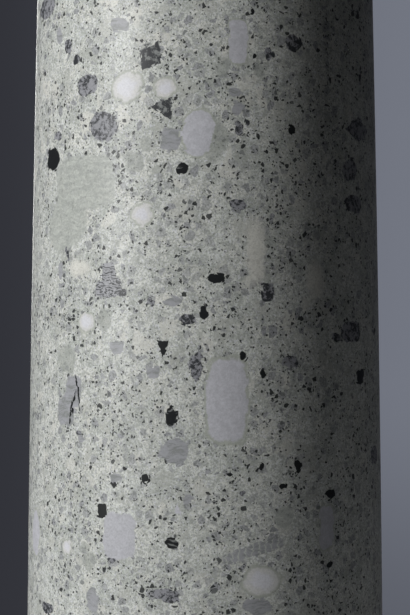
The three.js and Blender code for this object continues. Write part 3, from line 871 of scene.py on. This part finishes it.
FINISHES = {
    "stone": "Polished conglomerate",
    "stone_shaft": "Polished conglomerate of the shaft",
    "black_steel": "Powder-coated steel",
    "zinc_steel": "Zinc-plated steel",
    "stainless_steel": "Drawn stainless steel",
    "rubber": "Moulded rubber",
    "resin": "Stone-filled resin",
}


def material_for(slot):
    """The finish of that slot, made the first time that a piece needs it."""
    name = FINISHES[slot]
    made = bpy.data.materials.get(name)
    if made:
        return made
    if slot in SURFACES:
        return surface_material(name, slot)
    if slot == "resin":
        return resin_material(name)
    return stone_material(name, slot == "stone_shaft")


# ---- Geometry node trees ----

MERGE_DISTANCE = 1e-6


def geometry_tree(name, inputs):
    """A tree from a geometry, the given inputs and a material to a geometry."""
    inputs = {"Geometry": "geometry", **inputs, "Material": "material"}
    return new_tree(name, "GeometryNodeTree", inputs, {"Geometry": "geometry"})


def finish_tree(g, geometry, material):
    """Ends a tree in Realize Instances and Set Material."""
    real = g.add("GeometryNodeRealizeInstances", {"Geometry": geometry})[0]
    done = g.add("GeometryNodeSetMaterial", {"Geometry": real, "Material": material})[0]
    g.add("NodeGroupOutput", {"Geometry": done})
    g.tree.is_modifier = True
    return g.tree


def moved(g, geometry, part, vector):
    """The geometry with a new translation or rotation."""
    return g.add("GeometryNodeTransform", {"Geometry": geometry, part: vector})[0]


def even_turn(g, index, count):
    return g.times(g.over(index, count), math.tau)


def cross_grid(g, around, along):
    """A grid to be rolled up, with each point's place round and along it counted from 0."""
    inputs = {"Size X": 1.0, "Size Y": 1.0, "Vertices X": g.plus(around, 1.0), "Vertices Y": along}
    grid = g.add("GeometryNodeMeshGrid", inputs)["Mesh"]
    index = g.add("GeometryNodeInputIndex")[0]
    column = g.math("FLOOR", g.over(g.plus(index, 0.5), along))
    return grid, even_turn(g, column, around), g.minus(index, g.times(column, along))


def round_place(g, radius, turn, level):
    across = g.times(radius, g.math("COSINE", turn))
    deep = g.times(radius, g.math("SINE", turn))
    return g.combine(across, deep, level)


def close_roll(g, grid, position):
    """Rolls the grid up and joins its two long edges."""
    rolled = g.add("GeometryNodeSetPosition", {"Geometry": grid, "Position": position})[0]
    inputs = {"Geometry": rolled, "Distance": MERGE_DISTANCE}
    return g.add("GeometryNodeMergeByDistance", inputs)[0]


def turned_tree(name):
    """Turns a profile about the vertical axis. Points marked as side follow the shaft's entasis."""
    sizes = {"Segments": 64, "Foot radius": 0.0, "Middle radius": 0.0, "Neck radius": 0.0}
    levels = {"Foot level": 0.0, "Neck level": 1.0}
    chips = {"Chip depth": 0.0, "Chip size": 0.01, "Seed": 1.0}
    g, into = geometry_tree(name, {**sizes, **levels, **chips})
    profile = into["Geometry"]
    size = g.add("GeometryNodeAttributeDomainSize", {"Geometry": profile}, {"component": "MESH"})
    grid, turn, row = cross_grid(g, into["Segments"], size["Point Count"])

    def sampled(form, value):
        options = {"data_type": form, "domain": "POINT"}
        inputs = {"Geometry": profile, "Value": value, "Index": row}
        return g.add("GeometryNodeSampleIndex", inputs, options)["Value"]

    def attribute(label):
        node = g.add("GeometryNodeInputNamedAttribute", {"Name": label}, {"data_type": "FLOAT"})
        return sampled("FLOAT", node["Attribute"])

    place = sampled("FLOAT_VECTOR", g.add("GeometryNodeInputPosition")[0])
    offset, _, level = g.separate(place)
    side, edge = attribute("side"), attribute("edge")
    share = g.ramp(level, into["Foot level"], into["Neck level"], kind="LINEAR")
    rest = g.minus(1.0, share)
    ends = g.times(g.plus(into["Foot radius"], into["Neck radius"]), 0.5)
    bulge = g.minus(g.times(into["Middle radius"], 2.0), ends)
    foot = g.times(into["Foot radius"], g.times(rest, rest))
    neck = g.times(into["Neck radius"], g.times(share, share))
    entasis = g.plus(foot, g.times(share, rest, 2.0, bulge), neck)
    radius = g.plus(offset, g.times(side, entasis))

    where = g.vector("ADD", round_place(g, radius, turn, level), g.combine(into["Seed"], 0.0, 0.0))
    chip = g.ramp(g.noise(g.shrunk(where, into["Chip size"]), 1.0, 2.0, 0.6), 0.56, 0.74)
    radius = g.math("MAXIMUM", g.minus(radius, g.times(chip, edge, into["Chip depth"])), 0.0)
    options = {"data_type": "FLOAT", "domain": "POINT"}
    inputs = {"Geometry": grid, "Name": "edge", "Value": edge}
    marked = g.add("GeometryNodeStoreNamedAttribute", inputs, options)[0]
    rolled = close_roll(g, marked, round_place(g, radius, turn, level))
    return finish_tree(g, rolled, into["Material"])


def cut(g, operation, body, cutter):
    """The body less the cutter, or what both share."""
    whole = operation == "DIFFERENCE"
    inputs = {"Mesh 1": body, "Mesh 2": cutter} if whole else {"Mesh 2": [body, cutter]}
    options = {"operation": operation, "solver": "EXACT"}
    return g.add("GeometryNodeMeshBoolean", inputs, options)["Mesh"]


def upright_cylinder(g, vertices, radius, bottom, top):
    inputs = {"Vertices": vertices, "Radius": radius, "Depth": g.minus(top, bottom)}
    cylinder = g.add("GeometryNodeMeshCylinder", inputs)["Mesh"]
    middle = g.times(g.plus(top, bottom), 0.5)
    return moved(g, cylinder, "Translation", g.combine(0.0, 0.0, middle))


def drilled_tree(name):
    """Drills a ring of upright holes."""
    ring = {"Count": 4, "Circle radius": 0.05, "First angle": 0.0}
    hole = {"Hole radius": 0.005, "Bottom": 0.0, "Top": 1.0, "Hole segments": 32}
    g, into = geometry_tree(name, {**ring, **hole})
    inputs = {"Vertices": into["Count"], "Radius": into["Circle radius"]}
    points = g.add("GeometryNodeMeshCircle", inputs)["Mesh"]
    points = moved(g, points, "Rotation", g.combine(0.0, 0.0, into["First angle"]))
    size = (into["Hole segments"], into["Hole radius"], into["Bottom"], into["Top"])
    inputs = {"Points": points, "Instance": upright_cylinder(g, *size)}
    placed = g.add("GeometryNodeInstanceOnPoints", inputs)[0]
    drills = g.add("GeometryNodeRealizeInstances", {"Geometry": placed})[0]
    return finish_tree(g, cut(g, "DIFFERENCE", into["Geometry"], drills), into["Material"])


def hexagon_tree(name):
    """Keeps what lies inside an upright hexagonal prism."""
    g, into = geometry_tree(name, {"Flats": 0.018, "Bottom": 0.0, "Top": 0.01})
    corner = g.over(into["Flats"], math.sqrt(3))
    prism = upright_cylinder(g, 6, corner, into["Bottom"], into["Top"])
    return finish_tree(g, cut(g, "INTERSECT", into["Geometry"], prism), into["Material"])


THREAD_STEPS = 4.0
THREAD_DEPTH = 0.6
HELIX_START = 4.0


def thread_tree(name):
    """Joins a length of screw thread, rolled along the helix so that its crests stay sharp."""
    sizes = {"Radius": 0.006, "Pitch": 0.00175, "Bottom": 0.0, "Top": 0.03, "Chamfer": 0.001}
    g, into = geometry_tree(name, {**sizes, "Segments": 28})
    pitch, bottom, top = into["Pitch"], into["Bottom"], into["Top"]
    turns = g.math("CEIL", g.over(g.minus(top, bottom), pitch))
    rows = g.plus(g.times(g.plus(turns, 2.0), THREAD_STEPS), 1.0)
    grid, turn, row = cross_grid(g, into["Segments"], rows)
    part = g.over(turn, math.tau)
    steps = g.minus(g.over(g.minus(row, 1.0), THREAD_STEPS), 1.0)
    level = g.plus(bottom, g.times(g.plus(steps, part), pitch))
    level = g.math("MINIMUM", g.math("MAXIMUM", level, bottom), top)
    phase = g.minus(g.over(g.minus(level, bottom), pitch), part)
    crest = g.times(g.math("PINGPONG", g.plus(phase, HELIX_START), 0.5), 2.0)
    depth = g.times(pitch, THREAD_DEPTH, g.minus(1.0, crest))
    cone = g.minus(into["Radius"], into["Chamfer"])
    radius = g.minus(into["Radius"], depth)
    for inward in (g.minus(level, bottom), g.minus(top, level)):
        radius = g.math("MINIMUM", radius, g.plus(cone, inward))
    inner = g.math("GREATER_THAN", row, 0.5)
    outer = g.math("LESS_THAN", row, g.minus(rows, 1.5))
    radius = g.times(radius, g.times(inner, outer))
    rolled = close_roll(g, grid, round_place(g, radius, turn, level))
    joined = g.add("GeometryNodeJoinGeometry", {0: [into["Geometry"], rolled]})[0]
    return finish_tree(g, joined, into["Material"])


def array_tree(name):
    """Repeats the geometry at even steps round the vertical axis."""
    g, into = geometry_tree(name, {"Count": 1, "Circle radius": 0.1, "First angle": 0.0})
    out = g.combine(into["Circle radius"], 0.0, 0.0)
    points = g.add("GeometryNodePoints", {"Count": into["Count"]})[0]
    step = even_turn(g, g.add("GeometryNodeInputIndex")[0], into["Count"])
    turn = g.combine(0.0, 0.0, g.plus(step, into["First angle"]))
    copy = moved(g, into["Geometry"], "Translation", out)
    inputs = {"Points": points, "Instance": copy, "Rotation": turn}
    return finish_tree(g, g.add("GeometryNodeInstanceOnPoints", inputs)[0], into["Material"])


TREES = {
    "Turned body": turned_tree,
    "Ring of holes": drilled_tree,
    "Hexagon": hexagon_tree,
    "Screw thread": thread_tree,
    "Round array": array_tree,
}


# ---- Pieces ----


@functools.cache
def span(node):
    """Bottom, top and radius of a round CAD node."""
    low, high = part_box(node)
    return low.z, high.z, (high.x - low.x) / 2


def profile_mesh(name, points):
    """A polyline of (radius, level, side, edge) in the plane y = 0."""
    mesh = bpy.data.meshes.new(name)
    edges = [(i, i + 1) for i in range(len(points) - 1)]
    mesh.from_pydata([(radius, 0, level) for radius, level, _, _ in points], edges, [])
    for place, label in ((2, "side"), (3, "edge")):
        layer = mesh.attributes.new(label, "FLOAT", "POINT")
        layer.data.foreach_set("value", [p[place] for p in points])
    return mesh


def plain(*pairs, edges=()):
    """Profile points without entasis; edges lists the places of those that wear."""
    return [(radius, level, 0.0, float(i in edges)) for i, (radius, level) in enumerate(pairs)]


def rounded(radius, level, size, start, end, steps=6, side=0.0):
    """An arc of a profile about (radius, level), from a start angle to an end angle in degrees."""
    points = []
    for i in range(steps + 1):
        angle = math.radians(start + (end - start) * i / steps)
        spot = (radius + size * math.cos(angle), level + size * math.sin(angle))
        points.append((*spot, side, 1.0))
    return points


def flat_profile(inner, outer, bottom, top, chamfer):
    """A flat ring, or a disc where inner is 0, with chamfered outer edges."""
    outline = [(inner, bottom), (outer - chamfer, bottom), (outer, bottom + chamfer)]
    outline += [(outer, top - chamfer), (outer - chamfer, top), (inner, top)]
    if inner:
        outline.append((inner, bottom))
    return plain(*outline, edges=(1, 2, 3, 4))


def grow(name, points, steps, slot, replaced, body="column", finish=None):
    """Runs a profile through geometry trees, makes it a plain mesh, and ties it to the frame."""
    material = material_for(finish or slot)
    raw = bpy.data.objects.new(name, profile_mesh(name, points))
    bpy.context.scene.collection.objects.link(raw)
    for label, values in steps:
        tree = bpy.data.node_groups.get(label) or TREES[label](label)
        modifier = raw.modifiers.new(label, "NODES")
        modifier.node_group = tree
        items = tree.interface.items_tree
        sockets = {item.name: item.identifier for item in items if item.in_out == "INPUT"}
        for key, value in {**values, "Material": material}.items():
            modifier[sockets[key]] = value
    graph = bpy.context.evaluated_depsgraph_get()
    mesh = bpy.data.meshes.new_from_object(raw.evaluated_get(graph))
    bpy.data.objects.remove(raw)
    if not mesh.polygons:
        raise RuntimeError(f"{name} came out empty")
    work = bmesh.new()
    work.from_mesh(mesh)
    bmesh.ops.remove_doubles(work, verts=work.verts, dist=MERGE_DISTANCE)
    bmesh.ops.recalc_face_normals(work, faces=work.faces)
    work.to_mesh(mesh)
    work.free()
    mesh.shade_smooth()
    mesh.set_sharp_from_angle(angle=math.radians(SHARP_ANGLE))
    mesh.name = name
    piece = bpy.data.objects.new(name, mesh)
    bpy.context.scene.collection.objects.link(piece)
    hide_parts(*replaced)
    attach(piece, body)
    return piece


# ---- Steps of the pieces: the name of a geometry tree, and the values of its inputs ----


def turned(segments, values=None):
    """Turns the profile."""
    return "Turned body", {"Segments": segments, **(values or {})}


def chipped(stone, outline=None):
    """Turns the profile of a stone, with chips in its edges."""
    shape = settings().shape
    chips = {"Chip depth": shape.chip_depth, "Chip size": shape.chip_size}
    return turned(shape.segments, {**chips, "Seed": CHIP_SEEDS[stone], **(outline or {})})


def ring_values(ring):
    count, radius, first_angle = ring
    return {"Count": count, "Circle radius": radius, "First angle": math.radians(first_angle)}


def drilled(ring, hole, bottom, top, segments=HOLE_SEGMENTS):
    """Drills a ring of holes."""
    sizes = {"Hole radius": hole, "Bottom": bottom, "Top": top, "Hole segments": segments}
    return "Ring of holes", {**ring_values(ring), **sizes}


def arrayed(ring):
    """Repeats the piece round a ring."""
    return "Round array", ring_values(ring)


def hexagonal(flats, bottom, top):
    """Cuts the piece to a hexagon."""
    return "Hexagon", {"Flats": flats, "Bottom": bottom - CUT_MARGIN, "Top": top + CUT_MARGIN}


def threaded(radius, pitch, bottom, top):
    """Adds a screw thread."""
    sizes = {"Radius": radius, "Pitch": pitch, "Bottom": bottom, "Top": top}
    return "Screw thread", {**sizes, "Chamfer": THREAD_CHAMFER, "Segments": THREAD_SEGMENTS}


def dowel_ring(joint):
    """Count, circle and first angle of the dowels in the top joint or the base joint."""
    shape = settings().shape
    diameter = shape.neck_diameter if joint == "top" else shape.foot_diameter
    return DOWEL_COUNT[joint], (JOINT_BORE[joint] + diameter / 2) / 2, 0


def dowel_holes(joint, bottom, top):
    """Drills the holes for a joint's dowels."""
    return drilled(dowel_ring(joint), DOWEL_RADIUS[joint] + SEAT_GAP, bottom, top)


def hexagon_corner(flats):
    """A hexagon's radius at its corners, and how far its turned corners drop."""
    corner = flats / math.sqrt(3)
    return corner, (corner - flats / 2) * math.tan(math.radians(30))


class PEDESTAL_OT_shaft(bpy.types.Operator):
    """Turn the shaft with its swelling outline, bore, yoke pocket and dowel holes"""

    bl_idname = "pedestal.shaft"
    bl_label = "Shaft"

    def execute(self, context):
        shape = settings().shape
        bottom, top, _ = span("shaft")
        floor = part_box("yoke_gasket")[0].z - SEAT_GAP
        low, high = bottom + STONE_ARRIS, top - STONE_ARRIS
        points = [(SHAFT_BORE_RADIUS, bottom, 0.0, 0.0)]
        points += rounded(-STONE_ARRIS, low, STONE_ARRIS, -90, 0, side=1.0)
        for i in range(1, SHAFT_RINGS):
            points.append((0.0, low + (high - low) * i / SHAFT_RINGS, 1.0, 0.0))
        points += rounded(-STONE_ARRIS, high, STONE_ARRIS, 0, 90, side=1.0)
        inner = ((YOKE_POCKET_RADIUS, top), (YOKE_POCKET_RADIUS, floor), (SHAFT_BORE_RADIUS, floor))
        points += plain(*inner, (SHAFT_BORE_RADIUS, bottom))
        outline = {
            "Foot radius": shape.foot_diameter / 2,
            "Middle radius": shape.middle_diameter / 2,
            "Neck radius": shape.neck_diameter / 2,
            "Foot level": low,
            "Neck level": high,
        }
        top_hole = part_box("top_dowel_1")[0].z - SEAT_GAP
        base_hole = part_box("base_dowel_1")[1].z + SEAT_GAP
        steps = [
            chipped("shaft", outline),
            dowel_holes("top", top_hole, top + CUT_MARGIN),
            dowel_holes("base", bottom - CUT_MARGIN, base_hole),
        ]
        grow("polished_shaft", points, steps, "stone", ["shaft"], finish="stone_shaft")
        return {"FINISHED"}


class PEDESTAL_OT_slabs(bpy.types.Operator):
    """Turn the top slab and the base slab with its recess, pockets and holes"""

    bl_idname = "pedestal.slabs"
    bl_label = "Slabs"

    def outer(self, radius, bottom, top, edge, steps):
        """A slab's outer face, from its small lower edge to its round upper edge."""
        lower = rounded(radius - STONE_ARRIS, bottom + STONE_ARRIS, STONE_ARRIS, -90, 0)
        return lower + rounded(radius - edge, top - edge, edge, 0, 90, steps)

    def pocket(self, socket):
        """The top and the radius of the pocket over a welded socket."""
        return (size + POCKET_CLEARANCE for size in span(socket)[1:])

    def execute(self, context):
        bottom, top, radius = span("top_slab")
        face = self.outer(radius, bottom, top, TOP_SLAB_EDGE, 8)
        points = [(0.0, bottom, 0.0, 0.0), *face, (0.0, top, 0.0, 0.0)]
        hole_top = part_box("top_dowel_1")[1].z + SEAT_GAP
        steps = [chipped("top_slab"), dowel_holes("top", bottom - CUT_MARGIN, hole_top)]
        grow("polished_top_slab", points, steps, "stone", ["top_slab"])

        bottom, top, radius = span("base_slab")
        recess = span("base_plate")[2] + POCKET_CLEARANCE
        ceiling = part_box("base_plate_gasket")[1].z + SEAT_GAP
        pocket_top, pocket = self.pocket("tie_rod_socket")
        inner = ((ROD_HOLE_RADIUS, pocket_top), (pocket, pocket_top), (pocket, ceiling))
        points = plain(*inner, (recess, ceiling), (recess, bottom))
        points += self.outer(radius, bottom, top, BASE_SLAB_EDGE, 10)
        points += plain((ROD_HOLE_RADIUS, top), (ROD_HOLE_RADIUS, pocket_top))
        foot_top, foot_pocket = self.pocket("front_right_foot_socket")
        dowel_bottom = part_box("base_dowel_1")[0].z - SEAT_GAP
        steps = [
            chipped("base_slab"),
            drilled(FOOT_RING, foot_pocket, ceiling - CUT_MARGIN, foot_top),
            dowel_holes("base", dowel_bottom, top + CUT_MARGIN),
        ]
        grow("polished_base_slab", points, steps, "stone", ["base_slab"])
        return {"FINISHED"}


class PEDESTAL_OT_joints(bpy.types.Operator):
    """Make the resin beds and the dowels of the two stone joints"""

    bl_idname = "pedestal.joints"
    bl_label = "Resin beds and dowels"

    def bed(self, joint):
        node = f"{joint}_joint_bed"
        bottom, top, radius = span(node)
        inner, bulge = JOINT_BORE[joint] + BED_INNER_MARGIN, (top - bottom) / 2
        rim = rounded(radius - bulge, bottom + bulge, bulge, -90, 90)
        points = plain((inner, bottom)) + rim + plain((inner, top), (inner, bottom))
        steps = [turned(WIDE_SEGMENTS), dowel_holes(joint, bottom - CUT_MARGIN, top + CUT_MARGIN)]
        grow(f"{node}_resin", points, steps, "resin", [node])

    def dowels(self, joint):
        ring = dowel_ring(joint)
        nodes = [f"{joint}_dowel_{i + 1}" for i in range(ring[0])]
        bottom, top, _ = span(nodes[0])
        points = flat_profile(0, DOWEL_RADIUS[joint], bottom, top, DOWEL_CHAMFER)
        steps = [turned(BAR_SEGMENTS), arrayed(ring)]
        grow(f"{joint}_dowel_pins", points, steps, "stainless_steel", nodes)

    def execute(self, context):
        for make in (self.bed, self.dowels):
            for joint in JOINT_BORE:
                make(joint)
        return {"FINISHED"}


def nut(name, thread_radius, replaced, extra=()):
    """A hexagon nut with turned corners, at the first replaced node's level on the axis."""
    bottom, top, _ = span(replaced[0])
    flats = 2 * thread_radius * NUT_FLATS_PER_THREAD
    corner, drop = hexagon_corner(flats)
    hole = thread_radius + SEAT_GAP
    mouth = hole + NUT_MOUTH
    outline = ((mouth, bottom), (flats / 2, bottom), (corner, bottom + drop))
    outline += ((corner, top - drop), (flats / 2, top), (mouth, top), (hole, top - NUT_MOUTH))
    start = (hole, bottom + NUT_MOUTH)
    points = plain(start, *outline, start, edges=(2, 3, 4, 5))
    steps = [turned(NUT_SEGMENTS), hexagonal(flats, bottom, top), *extra]
    grow(name, points, steps, "zinc_steel", replaced)


class PEDESTAL_OT_tie_rod(bpy.types.Operator):
    """Make the tie rod with its yoke plate, gasket, washer, nuts and socket"""

    bl_idname = "pedestal.tie_rod"
    bl_label = "Tie rod"

    def ring(self, name, node, slot, chamfer):
        bottom, top, radius = span(node)
        points = flat_profile(ROD_RADIUS + SEAT_GAP, radius, bottom, top, chamfer)
        grow(name, points, [turned(RING_SEGMENTS)], slot, [node])

    def execute(self, context):
        bottom, top, _ = span("tie_rod")
        upper, lower = top - ROD_TOP_THREAD, bottom + ROD_FOOT_THREAD
        points = plain(
            (0, lower - ROD_THREAD_LAP),
            (ROD_CORE_RADIUS, lower - ROD_THREAD_LAP),
            (ROD_CORE_RADIUS, lower + ROD_STEP),
            (ROD_SHANK_RADIUS, lower + 2 * ROD_STEP),
            (ROD_SHANK_RADIUS, upper - 2 * ROD_STEP),
            (ROD_CORE_RADIUS, upper - ROD_STEP),
            (ROD_CORE_RADIUS, upper + ROD_THREAD_LAP),
            (0, upper + ROD_THREAD_LAP),
        )
        steps = [
            turned(BAR_SEGMENTS),
            threaded(ROD_RADIUS, ROD_PITCH, bottom, lower),
            threaded(ROD_RADIUS, ROD_PITCH, upper, top),
        ]
        grow("tie_rod_bar", points, steps, "zinc_steel", ["tie_rod"])
        self.ring("tie_rod_welded_socket", "tie_rod_socket", "black_steel", HEAVY_CHAMFER)
        self.ring("yoke_rubber", "yoke_gasket", "rubber", LIGHT_CHAMFER)
        self.ring("yoke_disc", "yoke_plate", "black_steel", HEAVY_CHAMFER)
        self.ring("tie_rod_washer_disc", "tie_rod_washer", "zinc_steel", LIGHT_CHAMFER)
        nut("tie_rod_full_nut", ROD_RADIUS, ["tie_rod_nut"])
        nut("tie_rod_thin_nut", ROD_RADIUS, ["tie_rod_lock_nut"])
        return {"FINISHED"}


class PEDESTAL_OT_base_plate(bpy.types.Operator):
    """Make the base plate with its gasket, welded sockets and lock nuts"""

    bl_idname = "pedestal.base_plate"
    bl_label = "Base plate"

    def disc(self, name, node, slot, inner, chamfer, hole):
        """A flat disc or ring with a hole for each foot."""
        bottom, top, radius = span(node)
        points = flat_profile(inner, radius, bottom, top, chamfer)
        holes = drilled(FOOT_RING, hole + SEAT_GAP, bottom - CUT_MARGIN, top + CUT_MARGIN)
        grow(name, points, [turned(WIDE_SEGMENTS), holes], slot, [node])

    def execute(self, context):
        rod_socket = span("tie_rod_socket")[2] + SEAT_GAP
        bottom, top, socket = span("front_right_foot_socket")
        self.disc("base_plate_disc", "base_plate", "black_steel", 0, PLATE_CHAMFER, STUD_RADIUS)
        gasket = ("rubber", rod_socket, GASKET_CHAMFER, socket)
        self.disc("base_plate_rubber", "base_plate_gasket", *gasket)
        points = flat_profile(STUD_RADIUS + SEAT_GAP, socket, bottom, top, SOCKET_CHAMFER)
        nodes = [f"{foot}_foot_socket" for foot in FEET]
        steps = [turned(NUT_SEGMENTS), arrayed(FOOT_RING)]
        grow("foot_welded_sockets", points, steps, "black_steel", nodes)
        nodes = [f"{foot}_lock_nut" for foot in FEET]
        nut("foot_lock_nuts", STUD_RADIUS, nodes, [arrayed(FOOT_RING)])
        return {"FINISHED"}


class PEDESTAL_OT_feet(bpy.types.Operator):
    """Make the four levelling feet: a dished pad, a rubber sole and a threaded stud each"""

    bl_idname = "pedestal.feet"
    bl_label = "Levelling feet"

    def pad(self, foot, place):
        bottom, top, radius = span(f"{foot}_pad")
        _, sole_top, sole_radius = span(f"{foot}_sole")
        seat, sole_hole = sole_top + SEAT_GAP, sole_radius + SEAT_GAP
        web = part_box(f"{foot}_stud")[0].z - SEAT_GAP
        pivot, rim, edge = PIVOT_RADIUS + SEAT_GAP, bottom + PAD_RIM_HEIGHT, PAD_EDGE
        points = plain((0, seat), (sole_hole, seat), (sole_hole, bottom))
        points += rounded(radius - edge, bottom + edge, edge, -90, 0, 4)
        points += rounded(radius - edge, rim - edge, edge, 0, 70, 4)
        points += rounded(PAD_HUB_RADIUS - edge, top - edge, edge, 25, 90, 4)
        points += plain((pivot, top), (pivot, web), (0, web))
        ring, ends = (PAD_GRIPS, radius + GRIP_OUTSET, 0), (bottom - CUT_MARGIN, top + CUT_MARGIN)
        steps = [turned(PAD_SEGMENTS), drilled(ring, GRIP_RADIUS, *ends, GRIP_SEGMENTS), place]
        grow(f"{foot}_foot_pad", points, steps, "black_steel", [f"{foot}_pad"], f"{foot}_foot")

    def sole(self, foot, place):
        bottom, top, radius = span(f"{foot}_sole")
        points = plain((0, bottom))
        for ring in SOLE_GROOVES:
            for width, depth in GROOVE_OUTLINE:
                points += plain((ring + width, bottom + depth))
        points += rounded(radius - SOLE_EDGE, bottom + SOLE_EDGE, SOLE_EDGE, -90, 0, 3)
        points += plain((radius, top), (0, top))
        steps = [turned(RING_SEGMENTS), place]
        grow(f"{foot}_foot_sole", points, steps, "rubber", [f"{foot}_sole"], f"{foot}_foot")

    def stud(self, foot, place):
        low, high, _ = span(f"{foot}_stud")
        flats = 2 * STUD_RADIUS * NUT_FLATS_PER_THREAD
        corner, drop = hexagon_corner(flats)
        bottom, top = STUD_HEX_BOTTOM, STUD_HEX_BOTTOM + STUD_HEX_HEIGHT
        outline = [(0, low), (PIVOT_RADIUS - PIVOT_CHAMFER, low)]
        outline += [(PIVOT_RADIUS, low + PIVOT_CHAMFER), (PIVOT_RADIUS, bottom)]
        outline += [(flats / 2, bottom), (corner, bottom + drop)]
        outline += [(corner, top - drop), (flats / 2, top), (0, top)]
        points = plain(*outline, edges=(1, 2, 4, 5, 6, 7))
        steps = [
            turned(NUT_SEGMENTS),
            hexagonal(flats, low, top),
            threaded(STUD_RADIUS, STUD_PITCH, top - STUD_THREAD_LAP, high),
            place,
        ]
        grow(f"{foot}_foot_stud", points, steps, "zinc_steel", [f"{foot}_stud"], f"{foot}_screw")

    def execute(self, context):
        for foot, angle in FEET.items():
            for make in (self.pad, self.sole, self.stud):
                make(foot, arrayed((1, FOOT_CIRCLE, angle)))
        return {"FINISHED"}


# ---- Stage ----
# The floor's fade is in millimetres from the axis. Each lamp has its angle in degrees round from
# the camera, and its share of the power.

FLOOR_RADIUS = 1.9
FLOOR_SEGMENTS = 96
FLOOR_FADE = (650.0, 1270.0)
FLOOR_ROUGHNESS = 0.8
FLOOR_SPECULAR = 0.2
LAMPS = {"key": (-55, 1.0), "back": (188, 0.7)}
LAMP_DISTANCE = 2.4
LAMP_HEIGHT = 1.45
LAMP_SIZE = (0.9, 2.2)
LAMP_COLOUR = (1.0, 1.0, 0.995)
LAMP_AIM = Vector((0, 0, 0.5))
GLOW_START = (-0.13, 0.13)
GLOW_END = (0.34, 0.16)
GLOW_LOW = (-0.2, -0.04, 0.55, 1.0)
AMBIENT_BLUE = 1.05
SENSOR_WIDTH = 36


class PEDESTAL_OT_stage(bpy.types.Operator):
    """Set up the floor, the backdrop, the lamps and the camera"""

    bl_idname = "pedestal.stage"
    bl_label = "Stage"

    def floor(self, stage):
        mesh = bpy.data.meshes.new("floor")
        work = bmesh.new()
        bmesh.ops.create_circle(work, cap_ends=True, segments=FLOOR_SEGMENTS, radius=FLOOR_RADIUS)
        work.to_mesh(mesh)
        work.free()
        floor = bpy.data.objects.new("floor", mesh)
        bpy.context.scene.collection.objects.link(floor)
        material, g, shader, point = new_material(
            "floor", FLOOR_ROUGHNESS, specular=FLOOR_SPECULAR
        )
        g.feed(shader["Base Color"], stage.floor)
        g.feed(shader["Alpha"], g.ramp(g.vector("LENGTH", point), *FLOOR_FADE, 1.0, 0.0))
        mesh.materials.append(material)

    def lamp(self, name, angle, power):
        data = bpy.data.lights.new(name, "AREA")
        data.shape = "RECTANGLE"
        data.size, data.size_y = LAMP_SIZE
        data.energy = power
        data.color = LAMP_COLOUR
        lamp = bpy.data.objects.new(name, data)
        around = math.radians(angle)
        across, deep = LAMP_DISTANCE * math.sin(around), -LAMP_DISTANCE * math.cos(around)
        lamp.location = (across, deep, LAMP_HEIGHT)
        lamp.rotation_euler = (LAMP_AIM - lamp.location).to_track_quat("-Z", "Y").to_euler()
        bpy.context.scene.collection.objects.link(lamp)

    def world(self, stage):
        world = bpy.data.worlds.new("studio")
        bpy.context.scene.world = world
        world.use_nodes = True
        g = Graph(world.node_tree)
        across, _, up = g.separate(g.add("ShaderNodeTexCoord")["Generated"])
        glow = g.times(g.ramp(across, *GLOW_START), g.ramp(across, *GLOW_END))
        glow = g.times(glow, g.ramp(up, *GLOW_LOW))
        backdrop = g.blend(glow, stage.backdrop_left, stage.backdrop_right)
        path = g.add("ShaderNodeLightPath")
        seen = g.math("MAXIMUM", path["Is Camera Ray"], path["Is Glossy Ray"])
        seen = g.math("MAXIMUM", seen, path["Is Transmission Ray"])
        ambient = (stage.fill, stage.fill, stage.fill * AMBIENT_BLUE)
        background = world.node_tree.nodes["Background"].inputs
        g.feed(background["Color"], g.blend(seen, ambient, backdrop))

    def camera(self, stage):
        data = bpy.data.cameras.new("camera")
        data.lens = stage.lens
        data.sensor_width = SENSOR_WIDTH
        camera = bpy.data.objects.new("camera", data)
        camera.location = (0, -stage.camera_distance, stage.camera_height)
        camera.rotation_euler = (math.radians(90), 0, 0)
        bpy.context.scene.collection.objects.link(camera)
        bpy.context.scene.camera = camera

    def execute(self, context):
        stage = settings().stage
        self.floor(stage)
        for name, (angle, share) in LAMPS.items():
            self.lamp(name, angle, stage.key_power * share)
        self.world(stage)
        self.camera(stage)
        context.scene.view_settings.view_transform = "Standard"
        return {"FINISHED"}


# ---- Panel and registration ----

OPERATORS = (
    PEDESTAL_OT_shaft,
    PEDESTAL_OT_slabs,
    PEDESTAL_OT_joints,
    PEDESTAL_OT_tie_rod,
    PEDESTAL_OT_base_plate,
    PEDESTAL_OT_feet,
    PEDESTAL_OT_stage,
)


class PEDESTAL_PT_panel(bpy.types.Panel):
    """Settings of the pedestal, and one button for each of its parts"""

    bl_idname = "PEDESTAL_PT_panel"
    bl_label = "Pedestal column stand"
    bl_space_type = "VIEW_3D"
    bl_region_type = "UI"
    bl_category = "Pedestal"

    def draw(self, context):
        for label, group in SETTINGS.items():
            box = self.layout.box()
            box.label(text=label.capitalize())
            for name in group.__annotations__:
                box.prop(getattr(context.scene.pedestal, label), name)
        for operator in OPERATORS:
            self.layout.operator(operator.bl_idname)


CLASSES = (*SETTINGS.values(), PedestalSettings, *OPERATORS, PEDESTAL_PT_panel)


def register():
    for item in CLASSES:
        bpy.utils.register_class(item)
    bpy.types.Scene.pedestal = bpy.props.PointerProperty(type=PedestalSettings)


def unregister():
    del bpy.types.Scene.pedestal
    for item in reversed(CLASSES):
        bpy.utils.unregister_class(item)


def main():
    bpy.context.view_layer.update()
    register()
    for operator in OPERATORS:
        getattr(bpy.ops.pedestal, operator.bl_idname.split(".")[1])()


if __name__ == "__main__":
    main()
